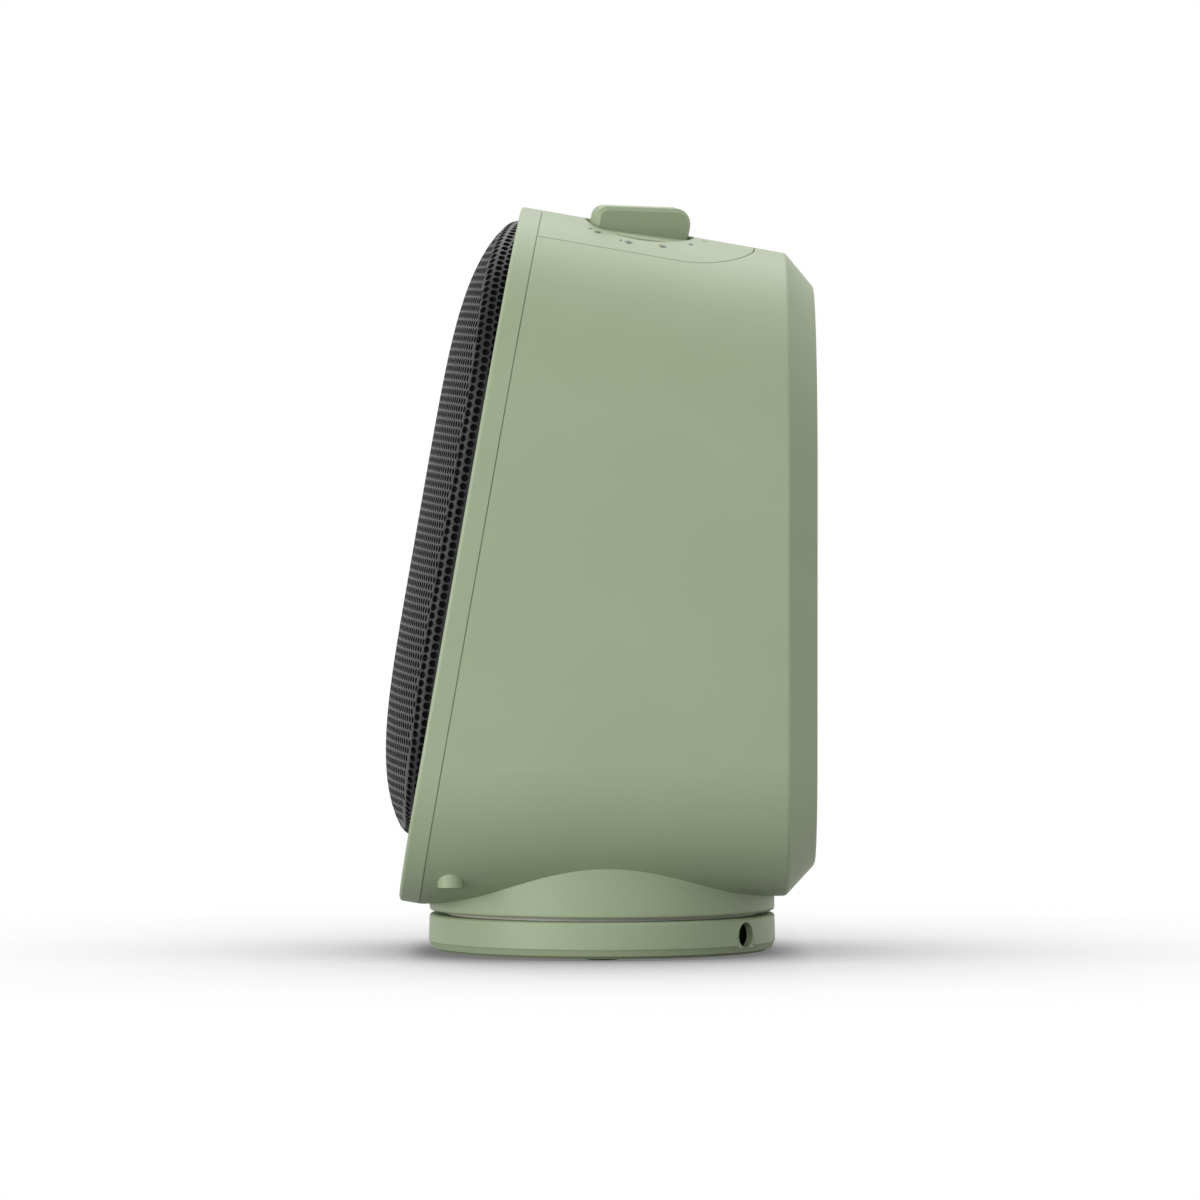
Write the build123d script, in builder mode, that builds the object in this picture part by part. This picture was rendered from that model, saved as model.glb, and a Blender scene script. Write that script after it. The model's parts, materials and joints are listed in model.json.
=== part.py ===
from build123d import *

import os
from math import asin, cos, degrees, hypot, pi, radians, sin, sqrt, tan

# Ceramic fan heater, modelled at its real size in millimetres.
# Origin: centre of the round base on the table. +Z is up, the warm air leaves towards -Y,
# +X is the side with the printed dial marks and the cord outlet.

os.makedirs("parts", exist_ok=True)

# Overall form of the head
face_lean = 10.0
half_width = 76.0
face_length = 244.5
seam_bottom_y = -62.8
seam_bottom_z = 16.7
corner_radius = 46.0
belly_radius = 240.0
rear_edge_y = 63.5
rear_bottom_z = 19.5
back_y = 73.2
back_inset = 10.5
back_drop = 1.2
rear_edge_round = 1.6
wall = 2.5

# Front bezel
bezel_depth = 7.6
bezel_skin = 2.5
bezel_round = 1.2
seam_width = 0.35
seam_depth = 0.7
tab_thickness = 1.6
tab_width = 14.0
tab_reach = 8.0
tab_gap = 0.3
tab_heights = (66.0, 118.0, 168.0)
lug_width = 10.0
lug_height = 4.0
lug_rear_y = -47.4

# Front grille: an arch-shaped pillow
grille_half_width = 69.0
grille_bottom = 22.6
grille_top = 239.9
grille_corner_radius = 40.0
grille_belly_radius = 240.0
grille_wall = 2.0
grille_gap = 0.3
grille_flange = 3.0
grille_bend = 2.6
crown_rise = 16.6
crown_cross_radius = 216.0
crown_flatness = 5.0
crown_fall = 1.4
crown_lap = 0.5
crown_sections = 4
grille_hole_radius = 4.2
grille_hole_pitch = 13.0
grille_hole_margin = 8.0

# Rear air inlet
window_inset = 13.0
inlet_plate = 2.2
inlet_gap = 0.3
inlet_flange = 3.0
slot_height = 3.2
slot_pitch = 6.4
slot_length = 21.0
slot_post = 4.0
slot_margin = 4.0
filter_thickness = 3.0

# Control panel and its knob
knob_y = 13.1
panel_roll = 6.5
panel_half_width = 30.4
panel_rear = 40.5
panel_corner = 25.0
panel_gap = 0.4
panel_lip = 3.0
panel_lip_thickness = 1.5
knob_radius = 18.6
knob_gap = 0.65
knob_sink = 1.6
knob_disc_thickness = 4.0
knob_rim_round = 0.7
well_depth = 9.6
well_wall = 2.0
grip_angle = -28.0
grip_half_length = 18.5
grip_thickness = 6.2
grip_top = 7.5
grip_rise = 5.0
grip_front_round = 4.0
grip_rear_round = 6.0
grip_edge_bevel = 1.2

# Mode switch under the panel
switch_size = 30.0
switch_height = 14.0
switch_bush_radius = 4.5
switch_nut_radius = 7.0
switch_nut_thickness = 2.0
knob_shaft_radius = 3.0
knob_hub_radius = 6.0
knob_hub_drop = 1.4
knob_shaft_grip = 3.0
switch_corner = 2.0
switch_shaft_depth = 10.0
shaft_end_gap = 0.4
switch_terminal_pitch = 6.0
switch_terminal_width = 4.0
switch_terminal_thickness = 0.8
switch_terminal_length = 7.0

# Base and swivel
base_radius = 60.0
base_flare = 0.3
base_top_z = 13.3
cover_seam_z = 3.5
cover_step_z = 1.6
cover_bottom_z = 0.6
cover_floor_z = 3.0
cover_rim_gap = 0.4
cover_rim_taper = 0.8
cover_foot_radius = 58.2
cover_foot_slope = 1.2
seam_bevel = 0.5
base_wall = 2.5
base_opening_radius = 42.5
base_edge_round = 1.0
collar_bottom_z = 14.5
collar_floor = 2.0
collar_top_z = 33.0
underside_opening_radius = 48.0
washer_inner = 46.0
washer_outer = 54.0
washer_gap = 0.1
post_radius = 12.0
post_bore = 8.0
post_flange_radius = 20.0
post_flange = 2.0
post_top_z = 24.6
post_groove = 1.0
hub_wall = 4.0
hub_top_z = 22.0
retainer_gap = 0.3
retainer_thickness = 1.4
retainer_radius = 16.0

# Swing drive: a pinion in the head walks round a toothed sector on the base
gear_module = 1.0
sector_teeth = 48
pinion_teeth = 16
gear_face = 5.0
gear_addendum = 0.85
gear_dedendum = 1.2
gear_backlash = 0.36
gear_pressure_angle = 20.0
sector_half_angle = 62.0
pinion_shaft_radius = 2.5
swing_motor_radius = 25.0
swing_motor_height = 16.0
swing_motor_z = 26.0
swing_ear_reach = 29.0
swing_ear_radius = 4.5
swing_ear_thickness = 1.5
pillar_radius = 3.5
pillar_screw_depth = 6.0
motor_shaft_depth = 10.0
swing_motor_round = 1.0

# Cord outlet, without a cord
outlet_radius = 4.35
outlet_angle = 55.5
outlet_z = 7.5
tongue_margin = 0.5
tongue_gap = 0.25
cord_radius = 3.3
clamp_distance = 36.0
clamp_length = 24.0
clamp_width = 7.0
clamp_top_z = 12.6
clamp_bottom_z = 8.0
clamp_post_radius = 3.0
clamp_post_offset = 8.4
clamp_screw_depth = 4.0

# Tip-over switch
plunger_x = -32.0
plunger_y = 6.0
plunger_radius = 2.5
plunger_lift = 0.15
plunger_collar_radius = 4.0
plunger_collar_height = 0.8
plunger_travel = 3.0
plunger_end_gap = 0.1
plunger_round = 0.6
guide_radius = 4.4
guide_top_z = 4.5
tip_switch_length = 16.0
tip_switch_width = 11.6
tip_switch_top_z = 13.4
tip_chamber_radius = 4.6
tip_chamber_top_z = 12.4
spring_radius = 3.2
spring_wire = 0.3
spring_turns = 4

# Feet and fasteners
foot_radius = 6.0
foot_distance = 47.0
foot_recess = 0.8
foot_angles = (0, 90, 180, 270)
foot_round = 0.4
screw_radius = 1.5
screw_head_radius = 2.9
screw_head_height = 1.2
screw_recess_width = 0.8
screw_recess_depth = 0.7
hole_clearance = 0.2
shaft_hole_clearance = 1.5
running_clearance = 0.05
base_screw_distance = 51.6
base_screw_angles = (20, 110, 200, 290)
base_boss_radius = 3.6
collar_screw_distance = 52.8
collar_screw_angles = (55, 125, 235, 305)
collar_boss_radius = 4.2
collar_screw_length = 11.0
housing_boss_rise = 14.5
collar_head_depth = 2.2
base_screw_length = 8.0
boss_x = 55.0
boss_y = -51.8
boss_radius = 4.35
boss_bottom_z = 25.0
boss_top_z = 36.0
boss_head_depth = 5.0

# Air path: positions are measured along the air axis, forwards from the seam
air_height = 128.0
duct_radius = 50.0
duct_wall = 2.5
duct_plate_front = -32.0
duct_plate = 2.5
duct_plate_bottom = 58.0
duct_plate_top = 205.0
duct_rear = -66.0
duct_fit = 0.3
duct_boss_depth = 10.0
duct_boss_size = 12.0
duct_boss_inner_x = 61.5
duct_screw_x = 67.5
duct_boss_heights = (76.0, 160.0)
frame_flange_width = 124.0
frame_flange_height = 112.0
frame_flange = 3.0
frame_wall = 3.0
frame_depth = 26.0
frame_screw_inset = 4.0
heater_width = 104.0
fin_bank_height = 14.4
fin_bank_count = 5
fin_count = 26
fin_thickness = 0.8
fin_plate = 1.0
fin_depth = 14.0
stone_height = 5.0
fan_radius = 46.5
fan_hub_radius = 13.0
fan_hub_front = -43.0
fan_hub_rear = -62.0
fan_blade_count = 7
fan_blade_chord = 24.0
fan_blade_thickness = 1.6
fan_root_pitch = 42.0
fan_tip_pitch = 24.0
fan_middle = -53.0
fan_nose_round = 4.0
motor_shaft_radius = 1.6
bracket_thickness = 3.0
bracket_hub_radius = 15.0
bracket_spoke = 7.0
bracket_lug_distance = 56.0
bracket_lug_radius = 4.2
bracket_lug_angles = (45, 135, 225, 315)
bracket_lug_depth = 7.0
motor_radius = 19.0
motor_length = 26.0
motor_boss_radius = 4.6
motor_boss_length = 2.2
motor_screw_distance = 10.5
motor_screw_depth = 4.0
motor_round = 2.0
cutout_radius = 8.5
cutout_height = 7.0
cutout_rise = 68.0
fuse_radius = 2.0
fuse_length = 16.0
terminal_length = 40.0
terminal_width = 14.0
terminal_height = 12.5
terminal_y = 34.0
terminal_screw_pitch = 12.0

# Derived frames of the leaning face
lean = radians(face_lean)
face_normal = Vector(0, -cos(lean), sin(lean))
face_plane = Plane(origin=(0, seam_bottom_y, seam_bottom_z), x_dir=(1, 0, 0), z_dir=face_normal)
face_axis = Axis(face_plane.origin, face_normal)
seam_top_y = seam_bottom_y + face_length * sin(lean)
seam_top_z = seam_bottom_z + face_length * cos(lean)
rear_top_z = seam_top_z - (rear_edge_y - seam_top_y) * tan(lean)
rear_height = rear_top_z - rear_bottom_z
rear_plane = Plane(origin=(0, rear_edge_y, rear_bottom_z), x_dir=(1, 0, 0), z_dir=(0, -1, 0))
back_plane = rear_plane.offset(rear_edge_y - back_y)
knob_z = seam_top_z - (knob_y - seam_top_y) * tan(lean)
crest_normal = Vector(0, sin(lean), cos(lean))
crest_line = Vector(0, cos(lean), -sin(lean))
knob_normal = crest_normal.rotate(Axis(origin=(0, 0, 0), direction=crest_line), panel_roll)
knob_origin = Vector(0, knob_y, knob_z) + (knob_normal - crest_normal) * half_width
knob_plane = Plane(origin=knob_origin, x_dir=crest_line.cross(knob_normal), z_dir=knob_normal)
knob_to_seam = (knob_y - seam_top_y) / cos(lean)
outlet_direction = Vector(cos(radians(outlet_angle)), sin(radians(outlet_angle)), 0)
fin_stack_height = fin_bank_count * fin_bank_height + (fin_bank_count - 1) * stone_height
flange_depth = bezel_depth - bezel_skin - grille_wall
duct_screw_points = [(x, height) for x in (-duct_screw_x, duct_screw_x) for height in duct_boss_heights]
frame_screw_x = frame_flange_width / 2 - frame_screw_inset
frame_screw_y = frame_flange_height / 2 - frame_screw_inset
frame_screw_heights = (-frame_screw_y, frame_screw_y)
frame_screw_points = [(x, y) for x in (-frame_screw_x, frame_screw_x) for y in frame_screw_heights]
pinion_distance = gear_module * (sector_teeth + pinion_teeth) / 2
gear_bottom_z = cover_floor_z + post_flange
plunger_collar_z = guide_top_z + plunger_travel + plunger_end_gap


def face_frame(height, depth=0.0):
    """Plane parallel to the face, at a height along it and a depth in front of the seam."""
    origin = face_plane.from_local_coords((0, height, depth))
    return Plane(origin=origin, x_dir=(1, 0, 0), z_dir=face_normal)


def polar(distance, angle):
    """Point at a distance and an angle in degrees from +X."""
    return (distance * cos(radians(angle)), distance * sin(radians(angle)))


def arch(half, height, corner, belly, inset=0.0):
    """Arch-topped face with round lower corners, its lowest point at the sketch's origin."""
    side_x = half - corner
    corner_y = belly - sqrt((belly - corner) ** 2 - side_x**2)
    turn = degrees(asin(side_x / (belly - corner)))
    side = half - inset
    shoulder = height - half
    with BuildSketch() as outline:
        with BuildLine():
            CenterArc((0, belly), belly - inset, 270 - turn, 2 * turn)
            CenterArc((side_x, corner_y), corner - inset, 270 + turn, 90 - turn)
            Line((side, corner_y), (side, shoulder))
            CenterArc((0, shoulder), side, 0, 90)
            CenterArc((0, shoulder), side, 90, 90)
            Line((-side, shoulder), (-side, corner_y))
            CenterArc((-side_x, corner_y), corner - inset, 180, 90 - turn)
        make_face()
    return outline.sketch


def body_face(height, inset=0.0):
    """Outline of the head, as seen from the front."""
    return arch(half_width, height, corner_radius, belly_radius, inset)


def grille_face(inset=0.0):
    """Outline of the front grille, in a frame at the grille's lowest point."""
    height = grille_top - grille_bottom
    return arch(grille_half_width, height, grille_corner_radius, grille_belly_radius, inset)


def panel_face(spread=0.0):
    """Outline of the control panel in the knob's frame, open-ended at the seam."""
    half = panel_half_width + spread
    rear = panel_rear + spread
    corner = panel_corner + spread
    front = -knob_to_seam - wall
    with BuildSketch() as outline:
        with BuildLine():
            Line((-half, front), (half, front))
            Line((half, front), (half, rear - corner))
            CenterArc((half - corner, rear - corner), corner, 0, 90)
            Line((half - corner, rear), (corner - half, rear))
            CenterArc((corner - half, rear - corner), corner, 90, 90)
            Line((-half, rear - corner), (-half, front))
        make_face()
    return outline.sketch


def head_volume(inset):
    """Filled body of the head behind the seam, drawn in all round by an inset."""
    with BuildPart() as volume:
        with BuildSketch(face_plane):
            add(body_face(face_length, inset))
        with BuildSketch(rear_plane):
            add(body_face(rear_height, inset))
        with BuildSketch(back_plane.offset(inset)):
            add(body_face(rear_height - back_drop, back_inset + inset))
        loft(ruled=True)
    return volume.part


def cut_cylinder(plane, radius, length):
    """Remove a round hole that starts on the plane and runs along its normal."""
    with BuildSketch(plane) as circle:
        Circle(radius)
    extrude(circle.sketch, amount=length, mode=Mode.SUBTRACT)


def add_cylinder(plane, radius, length):
    """Add a round boss that starts on the plane and runs along its normal."""
    with BuildSketch(plane) as circle:
        Circle(radius)
    extrude(circle.sketch, amount=length)


def add_screw(plane, length):
    """Pan-head screw: its head stands on the plane, its shank goes through it."""
    add_cylinder(plane, screw_head_radius, screw_head_height)
    add_cylinder(plane, screw_radius, -length)
    with BuildSketch(plane.offset(screw_head_height)) as cross:
        Rectangle(screw_head_radius, screw_recess_width)
        Rectangle(screw_recess_width, screw_head_radius)
    extrude(cross.sketch, amount=-screw_recess_depth, mode=Mode.SUBTRACT)


def level(x, y, z, up=1):
    """Horizontal plane at a point, facing up or down."""
    return Plane(origin=(x, y, z), x_dir=(1, 0, 0), z_dir=(0, 0, up))


def save(builder, name):
    """Label a finished piece and write it under its own name."""
    builder.part.label = name
    export_step(builder.part, f"parts/{name}.step")


# Filled volumes that several pieces are cut from
with BuildPart() as head_outer:
    add(head_volume(0))
    rear_edges = head_outer.edges().filter_by(
        lambda edge: edge.bounding_box().min.Y > rear_edge_y - rear_edge_round
    )
    fillet(rear_edges, rear_edge_round)

head_inner = head_volume(wall)

with BuildPart() as bezel_outer:
    with BuildSketch(face_plane):
        add(body_face(face_length))
    extrude(amount=bezel_depth)
    fillet(bezel_outer.edges().group_by(face_axis)[-1], bezel_round)

# Front bezel: a shallow ring with side tabs that clip into the housing and two screw lugs
with BuildPart() as front_bezel:
    add(bezel_outer.part)
    with BuildSketch(face_plane):
        add(body_face(face_length, wall))
    extrude(amount=bezel_depth - bezel_skin, mode=Mode.SUBTRACT)
    with BuildSketch(face_frame(grille_bottom)):
        add(grille_face(-grille_gap))
    extrude(amount=bezel_depth, mode=Mode.SUBTRACT)
    tab_x = half_width - wall - tab_gap - tab_thickness / 2
    for tab_height in tab_heights:
        with BuildSketch(face_frame(tab_height, -tab_reach)):
            with Locations((-tab_x, 0), (tab_x, 0)):
                Rectangle(tab_thickness, tab_width)
        extrude(amount=tab_reach)
        with BuildSketch(face_frame(tab_height)):
            with Locations((-tab_x, 0), (tab_x, 0)):
                Rectangle(tab_thickness + 2 * tab_gap, tab_width)
        extrude(amount=flange_depth)
    with BuildSketch(face_plane):
        add(body_face(face_length))
        add(body_face(face_length, seam_depth), mode=Mode.SUBTRACT)
    extrude(amount=seam_width, mode=Mode.SUBTRACT)
    lug_front_y = seam_bottom_y + (boss_top_z - seam_bottom_z) * tan(lean) - bezel_depth + bezel_skin / 2
    for side in (-1, 1):
        with BuildSketch(Plane.XY.offset(boss_top_z)):
            with Locations((side * boss_x, (lug_front_y + lug_rear_y) / 2)):
                Rectangle(lug_width, lug_rear_y - lug_front_y)
        extrude(amount=lug_height)
        cut_cylinder(level(side * boss_x, boss_y, boss_top_z), screw_radius, lug_height)
save(front_bezel, "front_bezel")


def crown_height(share):
    """Height of the grille's ridge above the bezel, at a share of the way to its end."""
    return crown_rise * (1 - abs(share) ** crown_flatness) ** (1 / crown_fall)


def grille_volume(inset, drop):
    """Filled pillow of the grille: cross-sections of one radius lofted along the ridge."""
    middle = (grille_top + grille_bottom) / 2
    reach = (grille_top - grille_bottom) / 2 + crown_lap
    half = grille_half_width + grille_flange
    sag = crown_cross_radius - sqrt(crown_cross_radius**2 - half**2)
    foot = -2 * crown_rise
    with BuildPart() as volume:
        for step in range(-crown_sections, crown_sections + 1):
            share = sin(pi / 2 * step / crown_sections)
            origin = face_plane.from_local_coords((0, middle + share * reach, bezel_depth - drop))
            ridge = crown_height(share)
            with BuildSketch(Plane(origin=origin, x_dir=(1, 0, 0), z_dir=-face_plane.y_dir)):
                with BuildLine():
                    ThreePointArc((-half, ridge - sag), (0, ridge), (half, ridge - sag))
                    Polyline((half, ridge - sag), (half, foot), (-half, foot), (-half, ridge - sag))
                make_face()
        loft()
        with BuildSketch(face_frame(grille_bottom, flange_depth)):
            add(grille_face(inset))
        extrude(amount=bezel_skin + grille_wall + 2 * crown_rise, mode=Mode.INTERSECT)
    return volume.part


def inside_grille(x, y, margin):
    """Whether a point of the grille's frame lies inside its outline by a margin."""
    side_x = grille_half_width - grille_corner_radius
    corner_y = grille_belly_radius - sqrt((grille_belly_radius - grille_corner_radius) ** 2 - side_x**2)
    shoulder = grille_top - grille_bottom - grille_half_width
    if y > shoulder:
        return hypot(x, y - shoulder) < grille_half_width - margin
    if y > corner_y:
        return abs(x) < grille_half_width - margin
    if abs(x) > side_x:
        return hypot(abs(x) - side_x, y - corner_y) < grille_corner_radius - margin
    return hypot(x, y - grille_belly_radius) < grille_belly_radius - margin


def grille_holes():
    """Centres of a staggered field of holes, in the grille's frame."""
    row_pitch = grille_hole_pitch * sqrt(3) / 2
    rows = int((grille_top - grille_bottom) / row_pitch) + 1
    columns = int(grille_half_width / grille_hole_pitch) + 1
    points = []
    for row in range(rows):
        shift = grille_hole_pitch / 2 * (row % 2)
        for column in range(-columns, columns + 1):
            point = (column * grille_hole_pitch + shift, row * row_pitch)
            if inside_grille(*point, grille_hole_margin):
                points.append(point)
    return points


# Front grille: a perforated pillow whose flange is held behind the bezel
with BuildPart() as front_grille:
    add(grille_volume(0, 0))
    crown_edges = front_grille.edges().filter_by(
        lambda edge: face_plane.to_local_coords(edge.center()).Z > bezel_depth
    )
    fillet(crown_edges, grille_bend)
    add(grille_volume(grille_wall, grille_wall), mode=Mode.SUBTRACT)
    with BuildSketch(face_frame(0, flange_depth)):
        with Locations((0, grille_bottom)):
            add(grille_face(-grille_flange))
            add(grille_face(grille_wall), mode=Mode.SUBTRACT)
        add(body_face(face_length, wall + grille_gap), mode=Mode.INTERSECT)
    extrude(amount=grille_wall)
    with BuildSketch(face_frame(grille_bottom, bezel_depth)):
        with Locations(*grille_holes()):
            Circle(grille_hole_radius)
    extrude(amount=2 * crown_rise, mode=Mode.SUBTRACT)
save(front_grille, "front_grille")

# Bosses inside the housing that the collar's screws bite into
collar_screw_points = [polar(collar_screw_distance, angle) for angle in collar_screw_angles]
with BuildPart() as collar_bosses:
    for x, y in collar_screw_points:
        add_cylinder(level(x, y, collar_bottom_z), collar_boss_radius, housing_boss_rise)
    add(head_outer.part, mode=Mode.INTERSECT)

# Rear housing: the hollow shell of the head, with its window, openings and screw bosses
window_height = rear_height - back_drop
duct_boss_outer_x = half_width - wall / 2
with BuildPart() as rear_housing:
    add(head_outer.part)
    add(head_inner, mode=Mode.SUBTRACT)
    with BuildSketch(back_plane):
        add(body_face(window_height, back_inset + window_inset))
    extrude(amount=wall, mode=Mode.SUBTRACT)
    with BuildSketch(knob_plane.offset(-panel_half_width / 2)):
        add(panel_face())
    extrude(amount=panel_half_width, mode=Mode.SUBTRACT)
    with BuildSketch(Plane.XY):
        Circle(underside_opening_radius)
    extrude(amount=collar_top_z, mode=Mode.SUBTRACT)
    for side in (-1, 1):
        boss_foot = level(side * boss_x, boss_y, boss_bottom_z)
        add_cylinder(boss_foot, boss_radius, boss_top_z - boss_bottom_z)
        cut_cylinder(boss_foot, screw_head_radius + hole_clearance, boss_head_depth)
        cut_cylinder(boss_foot, screw_radius + hole_clearance, boss_top_z)
        for height in duct_boss_heights:
            boss_face = face_frame(height, duct_plate_front - duct_plate)
            with BuildSketch(boss_face):
                with Locations((side * (duct_boss_inner_x + duct_boss_outer_x) / 2, 0)):
                    Rectangle(duct_boss_outer_x - duct_boss_inner_x, duct_boss_size)
            extrude(amount=-duct_boss_depth)
            screw_point = boss_face.from_local_coords((side * duct_screw_x, 0, 0))
            screw_plane = Plane(origin=screw_point, x_dir=(1, 0, 0), z_dir=face_normal)
            cut_cylinder(screw_plane, screw_radius, -duct_boss_depth / 2)
    add(collar_bosses.part)
    for x, y in collar_screw_points:
        cut_cylinder(level(x, y, collar_bottom_z), screw_radius, collar_screw_length)
save(rear_housing, "rear_housing")

# Rear inlet grille: a slotted plate that clips into the window, its flange inside
slot_field_height = window_height - 2 * (back_inset + window_inset) - 2 * slot_pitch
slot_rows = int(slot_field_height / slot_pitch)
slot_columns = 4
slot_field_middle = window_height / 2
with BuildPart() as rear_inlet_grille:
    with BuildSketch(back_plane):
        add(body_face(window_height, back_inset + window_inset + inlet_gap))
    extrude(amount=wall)
    with BuildSketch(back_plane.offset(wall)):
        add(body_face(window_height, back_inset + window_inset - inlet_flange))
    extrude(amount=inlet_plate)
    with BuildSketch(back_plane):
        with Locations((0, slot_field_middle)):
            with GridLocations(slot_length + slot_post, slot_pitch, slot_columns, slot_rows):
                SlotOverall(slot_length, slot_height)
        add(body_face(window_height, back_inset + window_inset + slot_margin), mode=Mode.INTERSECT)
    extrude(amount=wall + inlet_plate, mode=Mode.SUBTRACT)
save(rear_inlet_grille, "rear_inlet_grille")

# Dust filter: a foam sheet that lies against the inlet grille
with BuildPart() as dust_filter:
    with BuildSketch(back_plane.offset(wall + inlet_plate)):
        add(body_face(window_height, back_inset + window_inset))
    extrude(amount=filter_thickness)
save(dust_filter, "dust_filter")

# Control panel: the inset top skin, a lip that laps under the housing, and the knob's well
with BuildPart() as panel_lip_part:
    add(head_inner)
    add(head_volume(wall + panel_lip_thickness), mode=Mode.SUBTRACT)
    with BuildSketch(knob_plane.offset(-panel_half_width)):
        add(panel_face(panel_lip))
    extrude(amount=2 * panel_half_width, mode=Mode.INTERSECT)

well_radius = knob_radius + knob_gap
switch_top = -well_depth - well_wall
with BuildPart() as knob_well:
    add_cylinder(knob_plane.offset(switch_top), well_radius + well_wall, well_depth + well_wall)
    add(head_volume(wall / 2), mode=Mode.INTERSECT)

with BuildPart() as control_panel:
    add(head_outer.part)
    add(head_inner, mode=Mode.SUBTRACT)
    with BuildSketch(knob_plane.offset(-panel_half_width / 2)):
        add(panel_face(-panel_gap))
    extrude(amount=panel_half_width, mode=Mode.INTERSECT)
    add(panel_lip_part.part)
    add(knob_well.part)
    cut_cylinder(knob_plane.offset(-well_depth), well_radius, well_depth + wall)
    cut_cylinder(knob_plane.offset(switch_top), switch_bush_radius + running_clearance, well_wall)
save(control_panel, "control_panel")

# Mode knob: a flat disc with a tall bar grip across it, higher at its pointing end
disc_bottom = -knob_sink - knob_disc_thickness
grip_foot = -knob_sink - knob_disc_thickness / 2
grip_turn = radians(grip_angle)
grip_direction = knob_plane.y_dir * cos(grip_turn) + knob_plane.x_dir * sin(grip_turn)
grip_side = grip_direction.cross(knob_plane.z_dir)
grip_plane = Plane(origin=knob_plane.origin, x_dir=grip_direction, z_dir=grip_side)
grip_slope = tan(radians(grip_rise))
with BuildPart() as knob_grip:
    with BuildSketch(grip_plane) as grip_profile:
        with BuildLine():
            Polyline(
                (-grip_half_length, grip_foot),
                (grip_half_length, grip_foot),
                (grip_half_length, grip_top + grip_half_length * grip_slope),
                (-grip_half_length, grip_top - grip_half_length * grip_slope),
                close=True,
            )
        make_face()
        fillet(grip_profile.vertices().group_by(Axis.X)[-1].sort_by(Axis.Y)[-1], grip_rear_round)
        fillet(grip_profile.vertices().group_by(Axis.X)[0].sort_by(Axis.Y)[-1], grip_front_round)
    extrude(amount=grip_thickness / 2, both=True)
    side_edges = knob_grip.faces().filter_by(Axis(grip_plane.origin, grip_side)).edges()
    upper_edges = side_edges.filter_by(
        lambda edge: knob_plane.to_local_coords(edge.center()).Z > -knob_sink
    )
    chamfer(upper_edges, grip_edge_bevel)

knob_axis = Axis(knob_plane.origin, knob_plane.z_dir)
hub_foot = knob_plane.offset(disc_bottom - knob_hub_drop)
with BuildPart() as mode_knob:
    add_cylinder(knob_plane.offset(disc_bottom), knob_radius, knob_disc_thickness)
    fillet(mode_knob.edges().sort_by(knob_axis)[-1], knob_rim_round)
    add(knob_grip.part)
    add_cylinder(hub_foot, knob_hub_radius, knob_hub_drop)
    cut_cylinder(hub_foot, knob_shaft_radius, knob_hub_drop + knob_shaft_grip)
save(mode_knob, "mode_knob")

# Mode switch: a rotary switch hung under the well by its threaded bush and nut
with BuildPart() as mode_switch:
    with BuildSketch(knob_plane.offset(switch_top)):
        RectangleRounded(switch_size, switch_size, switch_corner)
    extrude(amount=-switch_height)
    add_cylinder(knob_plane.offset(switch_top), switch_bush_radius, well_wall + switch_nut_thickness)
    cut_cylinder(
        knob_plane.offset(switch_top - switch_shaft_depth),
        knob_shaft_radius + running_clearance,
        switch_shaft_depth + well_wall + switch_nut_thickness,
    )
    with BuildSketch(knob_plane.offset(switch_top - switch_height)):
        with GridLocations(switch_terminal_pitch, switch_size / 2, 4, 2):
            Rectangle(switch_terminal_width, switch_terminal_thickness)
    extrude(amount=-switch_terminal_length)
save(mode_switch, "mode_switch")

with BuildPart() as switch_nut:
    with BuildSketch(knob_plane.offset(-well_depth)):
        RegularPolygon(switch_nut_radius, 6)
        Circle(switch_bush_radius, mode=Mode.SUBTRACT)
    extrude(amount=switch_nut_thickness)
save(switch_nut, "switch_nut")

shaft_foot = switch_top - switch_shaft_depth + shaft_end_gap
with BuildPart() as switch_shaft:
    shaft_length = disc_bottom + knob_shaft_grip - shaft_foot
    add_cylinder(knob_plane.offset(shaft_foot), knob_shaft_radius, shaft_length)
save(switch_shaft, "switch_shaft")

# Swivel collar: a cup screwed under the head, its rim trimmed to the head's curved underside
with BuildPart() as swivel_collar:
    add_cylinder(level(0, 0, collar_bottom_z), base_radius, collar_top_z - collar_bottom_z)
    fillet(swivel_collar.edges().sort_by(Axis.Z)[0], base_edge_round)
    cut_cylinder(level(0, 0, collar_bottom_z + collar_floor), base_radius - base_wall, collar_top_z)
    for x, y in collar_screw_points:
        add_cylinder(level(x, y, collar_bottom_z), collar_boss_radius, housing_boss_rise)
    add(head_outer.part, mode=Mode.SUBTRACT)
    add(bezel_outer.part, mode=Mode.SUBTRACT)
    add_cylinder(level(0, 0, collar_bottom_z), post_radius + hub_wall, hub_top_z - collar_bottom_z)
    for side in (-1, 1):
        pillar = level(side * swing_ear_reach, -pinion_distance, collar_bottom_z)
        add_cylinder(pillar, pillar_radius, swing_motor_z - collar_bottom_z)
        pillar_top = level(side * swing_ear_reach, -pinion_distance, swing_motor_z)
        cut_cylinder(pillar_top, screw_radius, -pillar_screw_depth)
    cut_cylinder(level(0, 0, collar_bottom_z), post_radius + running_clearance, hub_top_z)
    shaft_hole_radius = pinion_shaft_radius + shaft_hole_clearance
    cut_cylinder(level(0, -pinion_distance, collar_bottom_z), shaft_hole_radius, collar_floor)
    for x, y in collar_screw_points:
        screw_point = level(x, y, collar_bottom_z)
        cut_cylinder(screw_point, screw_head_radius + hole_clearance, collar_head_depth)
        cut_cylinder(screw_point, screw_radius + hole_clearance, housing_boss_rise)
save(swivel_collar, "swivel_collar")

with BuildPart() as collar_screws:
    for x, y in collar_screw_points:
        seat = level(x, y, collar_bottom_z + collar_head_depth, -1)
        add_screw(seat, collar_screw_length - collar_head_depth)
save(collar_screws, "collar_screws")

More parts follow.
